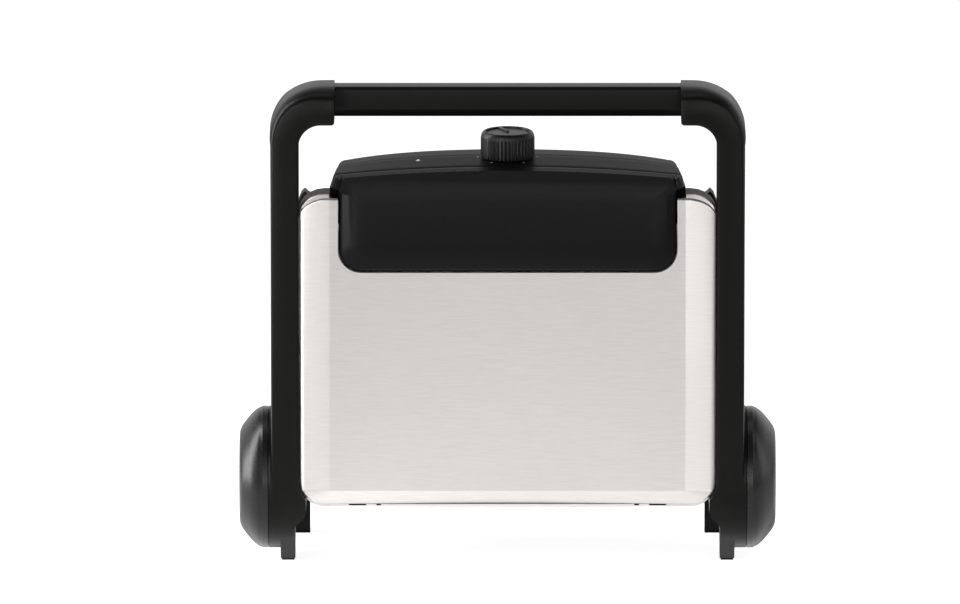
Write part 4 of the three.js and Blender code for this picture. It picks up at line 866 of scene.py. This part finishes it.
def make_knob():
    shoulder = KNOB_HIGH - DOME
    skirt = [
        (KNOB_LOW + 3, KNOB_INSIDE_R, 0),
        (KNOB_LOW, KNOB_INSIDE_R, 0),
        (KNOB_LOW, KNOB_R - 0.9, 0.2),
        (KNOB_LOW + 0.15, KNOB_R - 0.35, 0.4),
    ]
    skirt += [(z, KNOB_R, GROOVE) for z in (KNOB_LOW + 0.6, 294, 299, shoulder - 0.3)]
    dome = []
    for share in (0.06, 0.14, 0.24, 0.36, 0.5, 0.64, 0.78, 0.9, 1.0):
        turn = share * math.pi / 2
        radius = mix(RIM_R + 0.15, KNOB_R, math.cos(turn))
        fade = max(0, 1 - share / 0.3) ** 0.7
        dome.append((shoulder + DOME * math.sin(turn), radius, GROOVE * fade))
    rim = [
        (KNOB_HIGH, RIM_R - 0.15, 0),
        (KNOB_HIGH - 0.12, RIM_R - 0.45, 0),
        (KNOB_HIGH - 0.45, RECESS_R + 0.05, 0),
        (KNOB_HIGH - RECESS_DEEP, RECESS_R, 0),
    ]
    return loft("knob_body", [knob_ring(*line) for line in skirt + dome + rim])


dress(make_knob(), "control_knob", KNOB_BLACK, "black_plastic", "knob", degrees=30)


def make_knob_cap():
    low = KNOB_HIGH - RECESS_DEEP + 0.05
    top = low + 0.7
    radius = RECESS_R - 0.3
    profile = [(0, low), (radius, low)]
    profile += [(radius, top - 0.4), (radius - 0.12, top - 0.12), (radius - 0.4, top), (0, top)]
    disc = turned("knob_cap_disc", profile, "Z", (0, KNOB_Y), 96)
    dress(disc, "control_knob", CAP_GREY, "satin_plastic", "knob_cap", degrees=30)
    return top


def make_pointer(top):
    """A ridge with rounded back that runs from the rim towards the middle of the cap."""
    sine, cosine = math.sin(POINTER_TURN), math.cos(POINTER_TURN)
    rings = []
    for along, wide, tall in (
        (-0.3, 0.8, 0.1),
        (-0.2, 1.1, 1.1),
        (0.1, 1.25, 1.4),
        (0.6, 1.3, 1.5),
        (7.0, 1.3, 1.5),
        (14.3, 1.3, 1.5),
        (14.8, 1.2, 1.3),
        (14.95, 1.0, 0.4),
    ):
        section = [(-wide, -0.6), (-wide, tall * 0.72), (-wide * 0.8, tall * 0.93), (-wide * 0.45, tall)]
        ring = []
        for across, high in both_sides(section):
            x, y = along * cosine - across * sine, KNOB_Y + along * sine + across * cosine
            ring.append((x, y, top + high))
        rings.append(ring)
    ridge = loft("knob_pointer", rings)
    dress(ridge, "control_knob", KNOB_BLACK, "black_plastic", degrees=40)


make_pointer(make_knob_cap())

# Steel cover: one pressed sheet, folded back at both sides and at its foot, with a narrow flange
# above and below
FLANGE_Y, FACE_Y, SIDE_Y, RIM_END_Y, FOLD_X, SHEET = 7.5, 3.0, 5.0, 9.7, 125.35, 0.8
FACE = (146.85, 47.7, 268.2, 20.9, 13.9, 18.6)  # as in COVER
LOW_FOLD_Z, KNEE_Z, KNEE_Y = 58.7, 52.1, 5.0
FLANGE_CUT_HALF = 125.7
SLOTS = [(89.45, 92.65), (99.85, 111.95)]
STAGE = 10  # the sheet is laid out first with its lift in place of its depth
MERGE = 0.035  # points of the sheet closer than this become one


def soft_fold(beyond, slope, reach=0.8):
    """A straight slope that starts beyond a fold, eased in over the fold's width."""
    run = min(max(0.0, beyond + reach), 2 * reach)
    return slope * (run * run / (4 * reach) + max(0.0, beyond - reach))


def face_depth(x, z):
    """Depth of the raised face: flat in the middle, folded back at the sides and at the foot."""
    side = soft_fold(abs(x) - FOLD_X, (SIDE_Y - FACE_Y) / (FACE[0] - FOLD_X))
    foot = soft_fold(LOW_FOLD_Z - z, (KNEE_Y - FACE_Y) / (LOW_FOLD_Z - KNEE_Z))
    if z < KNEE_Z:
        share = min((KNEE_Z - z) / (KNEE_Z - FACE[1]), 1)
        round_in = 1 - math.sqrt(1 - share * share)
        foot = KNEE_Y - FACE_Y + (FLANGE_Y - KNEE_Y) * (0.53 * share + 0.47 * round_in)
    return min(FACE_Y + (side**4 + foot**4) ** 0.25, FLANGE_Y)


def cover_outline(half, bottom, top, round_top, rise, round_bottom, inset=0.0):
    """An outline in (x, z), drawn in by inset above and below and by less at the sides."""
    side = 0.15 * inset
    x = half - side
    low, high = (round_bottom - side, round_bottom - inset), (round_top - side, rise - inset)
    foot = quarter(half - round_bottom, bottom + round_bottom, *low, -1, 16)
    head = quarter(half - round_top, top - rise, *high, 0, 16)
    run = [(x, mix(foot[-1][1], head[0][1], i / 8)) for i in range(1, 8)]
    return both_sides(foot + run + head)


def cover_ring(towards_face, inset, lift):
    """A ring of the sheet between the flange's outline and the face's, at its share of the step up."""
    pairs = zip(cover_outline(*COVER), cover_outline(*FACE, inset))
    return [(mix(a[0], b[0], towards_face), lift * STAGE, mix(a[1], b[1], towards_face)) for a, b in pairs]


def cover_sheet():
    flange = [(0, 0, -1), (0, 0, -0.3), (0.03, 0, -0.12), (0.14, 0, -0.02), (0.25, 0, 0), (0.72, 0, 0)]
    wall = [(0.93, 0, 0.03), (1, 0, 0.12), (1, 0, 0.7)]
    turn = [(1, 0.08, 0.82), (1, 0.28, 0.91), (1, 0.58, 0.97), (1, 0.9, 0.993), (1, 1.3, 1)]
    sheet = loft("top_cover_sheet", [cover_ring(*ring) for ring in flange + wall + turn], closed=False)
    shape = bmesh.new()
    shape.from_mesh(sheet.data)
    level = at(0, STAGE, 0).y
    inner = [edge for edge in shape.edges if all(abs(v.co.y - level) < 1e-7 for v in edge.verts)]
    bmesh.ops.edgeloop_fill(shape, edges=inner)
    folds = [FOLD_X + step for step in (-0.8, -0.4, 0, 0.4, 0.8, 5, 9, 13, 17)]
    cuts = [(Vector((side * x * MM, 0, 0)), Vector((1, 0, 0))) for x in folds for side in (-1, 1)]
    heights = [LOW_FOLD_Z + step for step in (0.8, 0.4, 0, -0.4, -0.8)]
    heights += [54, KNEE_Z, 51.3, 50.6, 50, 49.5, 49.05]
    cuts += [(at(0, 0, z), Vector((0, 0, 1))) for z in heights]
    for place, across in cuts:
        parts = shape.verts[:] + shape.edges[:] + shape.faces[:]
        bmesh.ops.bisect_plane(shape, geom=parts, plane_co=place, plane_no=across)
    for v in shape.verts:
        lift = (v.co.y - at(0, 0, 0).y) / MM / STAGE
        end = face_depth(v.co.x / MM, v.co.z / MM) if lift > 0 else RIM_END_Y
        v.co.y = at(0, mix(FLANGE_Y, end, abs(lift)), 0).y
    bmesh.ops.remove_doubles(shape, verts=shape.verts, dist=MERGE * MM)
    bmesh.ops.recalc_face_normals(shape, faces=shape.faces)
    if max(shape.faces, key=lambda face: face.calc_area()).normal.y > 0:
        bmesh.ops.reverse_faces(shape, faces=shape.faces)
    shape.to_mesh(sheet.data)
    shape.free()
    return sheet


def make_cover():
    sheet = cover_sheet()
    thick = sheet.modifiers.new("sheet", "SOLIDIFY")
    thick.thickness = SHEET * MM
    thick.offset = -1
    through = (-2, 22)
    half = FLANGE_CUT_HALF
    tools = [loft("nose_cut", [nose_ring(y, -LID_GAP, 0.3) for y in (-2, 30)])]
    tools.append(block("flange_cut", (-half, half), through, (FACE[2], 292)))
    for low, high in SLOTS:
        for span in ((low, high), (-high, -low)):
            tools.append(block("slot", span, through, (COVER[1] - 2, FACE[1] + 0.4)))
    return combine(sheet, tools)


dress(make_cover(), "lid", STEEL, "brushed_steel", "top_cover", degrees=40)

# The solids that stay get small rounds along their edges
for name in (
    "base_shell",
    "bottom_cover",
    "upper_frame",
    "right_rear_leg",
    "left_rear_leg",
    "right_front_foot",
    "left_front_foot",
    "right_leg_pad",
    "left_leg_pad",
    "right_tab_pad",
    "left_tab_pad",
    "lower_plate",
    "upper_plate",
    "terminal_block",
    "thermostat_bracket",
):
    smooth(frame["nodes"][name], 30)
    soften(frame["nodes"][name], 0.2 if "pad" in name else 0.35, degrees=34)


# Floor and light
FLOOR_COLOUR, FLOOR_SHARE = (0.6, 0.6, 0.6), 0.85
# Painted light and shadow in what metal sees of the floor, each an ellipse round the middle of the floor:
# stretch and shift of the place, the distances between which it changes, and its value at both
PAINTED_FLOOR_LIGHT = [
    # painted shadow under the grill
    ((1 / 0.155, 1 / 0.092, 0), (0, 0, 0), 0.87, 1.03, 0.0, 1),
    # painted shade at both sides of the grill
    ((1 / 0.28, 1 / 0.1, 0), (0, -0.5, 0), 0.87, 1.03, 0.25, 1),
    # painted pool of light in front of the grill and behind it
    ((1 / 0.2, 1 / 0.33, 0), (0, 0, 0), 0.7, 1.1, 1.75, 1),
    # painted shade, deeper and deeper with the distance
    ((1, 1, 0), (0, 0, 0), 0.3, 1.1, 1.1, 0.25),
]


def ray_kinds(tree):
    """Whether a ray comes from the camera, and whether a surface mirrors it or lets it through."""
    rays = add(tree, "ShaderNodeLightPath").outputs
    mirrored_ray = calculate(tree, "ADD", (rays["Is Glossy Ray"], rays["Is Transmission Ray"]), True)
    return rays["Is Camera Ray"], mirrored_ray


def painted_floor_light(tree, stretch, shift, *change):
    """A value of painted light and shade that changes with the stretched and shifted distance from the
    middle of the floor.
    """
    scaled = add(tree, "ShaderNodeVectorMath", operation="MULTIPLY_ADD")
    scaled.inputs[1].default_value = stretch
    scaled.inputs[2].default_value = shift
    tree.links.new(coordinates(tree), scaled.inputs[0])
    length = add(tree, "ShaderNodeVectorMath", operation="LENGTH")
    tree.links.new(scaled.outputs["Vector"], length.inputs[0])
    return remap(tree, length.outputs["Value"], *change, "SMOOTHSTEP")


def stage_material():
    """A white surface: FLOOR_SHARE of its look is plain white to the eye, and to metal it shows the painted
    light and shadow of the masks. The rest is lit and takes the shadow."""
    material, tree, principled = new_material("floor_white")
    tree.nodes.remove(principled)
    camera_ray, shown = ray_kinds(tree)
    # The painted light and shadow of each mask go into what metal sees of the floor.
    for mask in PAINTED_FLOOR_LIGHT:
        shown = calculate(tree, "MULTIPLY", (shown, painted_floor_light(tree, *mask)))
    seen = calculate(tree, "ADD", (camera_ray, shown))
    glow = add(tree, "ShaderNodeEmission")
    tree.links.new(calculate(tree, "MULTIPLY", (seen, FLOOR_SHARE)), glow.inputs["Strength"])
    lit = add(tree, "ShaderNodeBsdfDiffuse")
    lit.inputs["Color"].default_value = (*FLOOR_COLOUR, 1)
    both = add(tree, "ShaderNodeAddShader")
    tree.links.new(glow.outputs[0], both.inputs[0])
    tree.links.new(lit.outputs[0], both.inputs[1])
    tree.links.new(both.outputs[0], tree.nodes["Material Output"].inputs["Surface"])
    return material


def make_floor():
    mesh = bpy.data.meshes.new("floor")
    shape = bmesh.new()
    bmesh.ops.create_grid(shape, x_segments=2, y_segments=2, size=12)
    shape.to_mesh(mesh)
    shape.free()
    floor = bpy.data.objects.new("floor", mesh)
    scene.collection.objects.link(floor)
    paint(floor, stage_material())


def make_world():
    """White to the eye, and to metal too, which sees it fade overhead. As a light it is dimmer."""
    world = bpy.data.worlds.new("studio")
    scene.world = world
    world.use_nodes = True
    tree = world.node_tree
    background = tree.nodes["Background"]
    camera_ray, mirrored_ray = ray_kinds(tree)
    overhead = remap(tree, upward(tree, "Generated"), 0.25, 0.75, 1.0, 0.0, "SMOOTHSTEP")
    around = calculate(tree, "MULTIPLY", (mirrored_ray, overhead))
    seen = calculate(tree, "ADD", (camera_ray, around), True)
    tree.links.new(remap(tree, seen, 0, 1, 0.35, 1.0), background.inputs["Strength"])
    background.inputs["Color"].default_value = (1, 1, 1, 1)


def lamp(name, place, aim, width, height, watts, roll=0.0):
    """An area lamp at a place, turned to what it aims at, both in metres."""
    data = bpy.data.lights.new(name, "AREA")
    data.shape = "RECTANGLE"
    data.size = width
    data.size_y = height
    data.energy = watts
    light = bpy.data.objects.new(name, data)
    scene.collection.objects.link(light)
    light.location = place
    light.rotation_mode = "QUATERNION"
    facing = (Vector(aim) - Vector(place)).to_track_quat("-Z", "Y")
    light.rotation_quaternion = facing @ Quaternion((0, 0, 1), roll)


make_floor()
make_world()
lamp("left_key", (-0.8, 0.12, 0.5), (-0.18, 0.05, 0.4), 0.24, 1.4, 12, 0.12)
lamp("left_front", (-0.52, -0.9, 0.44), (0, 0, 0.44), 0.13, 0.8, 6)
lamp("left_strip", (-0.46, -2.1, 0.6), (0, 0, 0.6), 0.25, 1.15, 1.9)
lamp("right_strip", (0.5, -2.1, 0.6), (0, 0, 0.6), 0.25, 1.15, 6.6)
lamp("right_key", (0.85, 0.0, 0.5), (0.18, 0.0, 0.4), 0.3, 0.95, 1.2)
lamp("right_fill", (1.8, -1.1, 0.9), (0, 0, 0.18), 0.9, 1.4, 2)
lamp("front_low", (0, -3.0, 0.33), (0, 0, 0.33), 0.6, 0.54, 3)
lamp("top", (0, 0.3, 2.0), (0, 0, 0.3), 1.4, 0.8, 3.5)
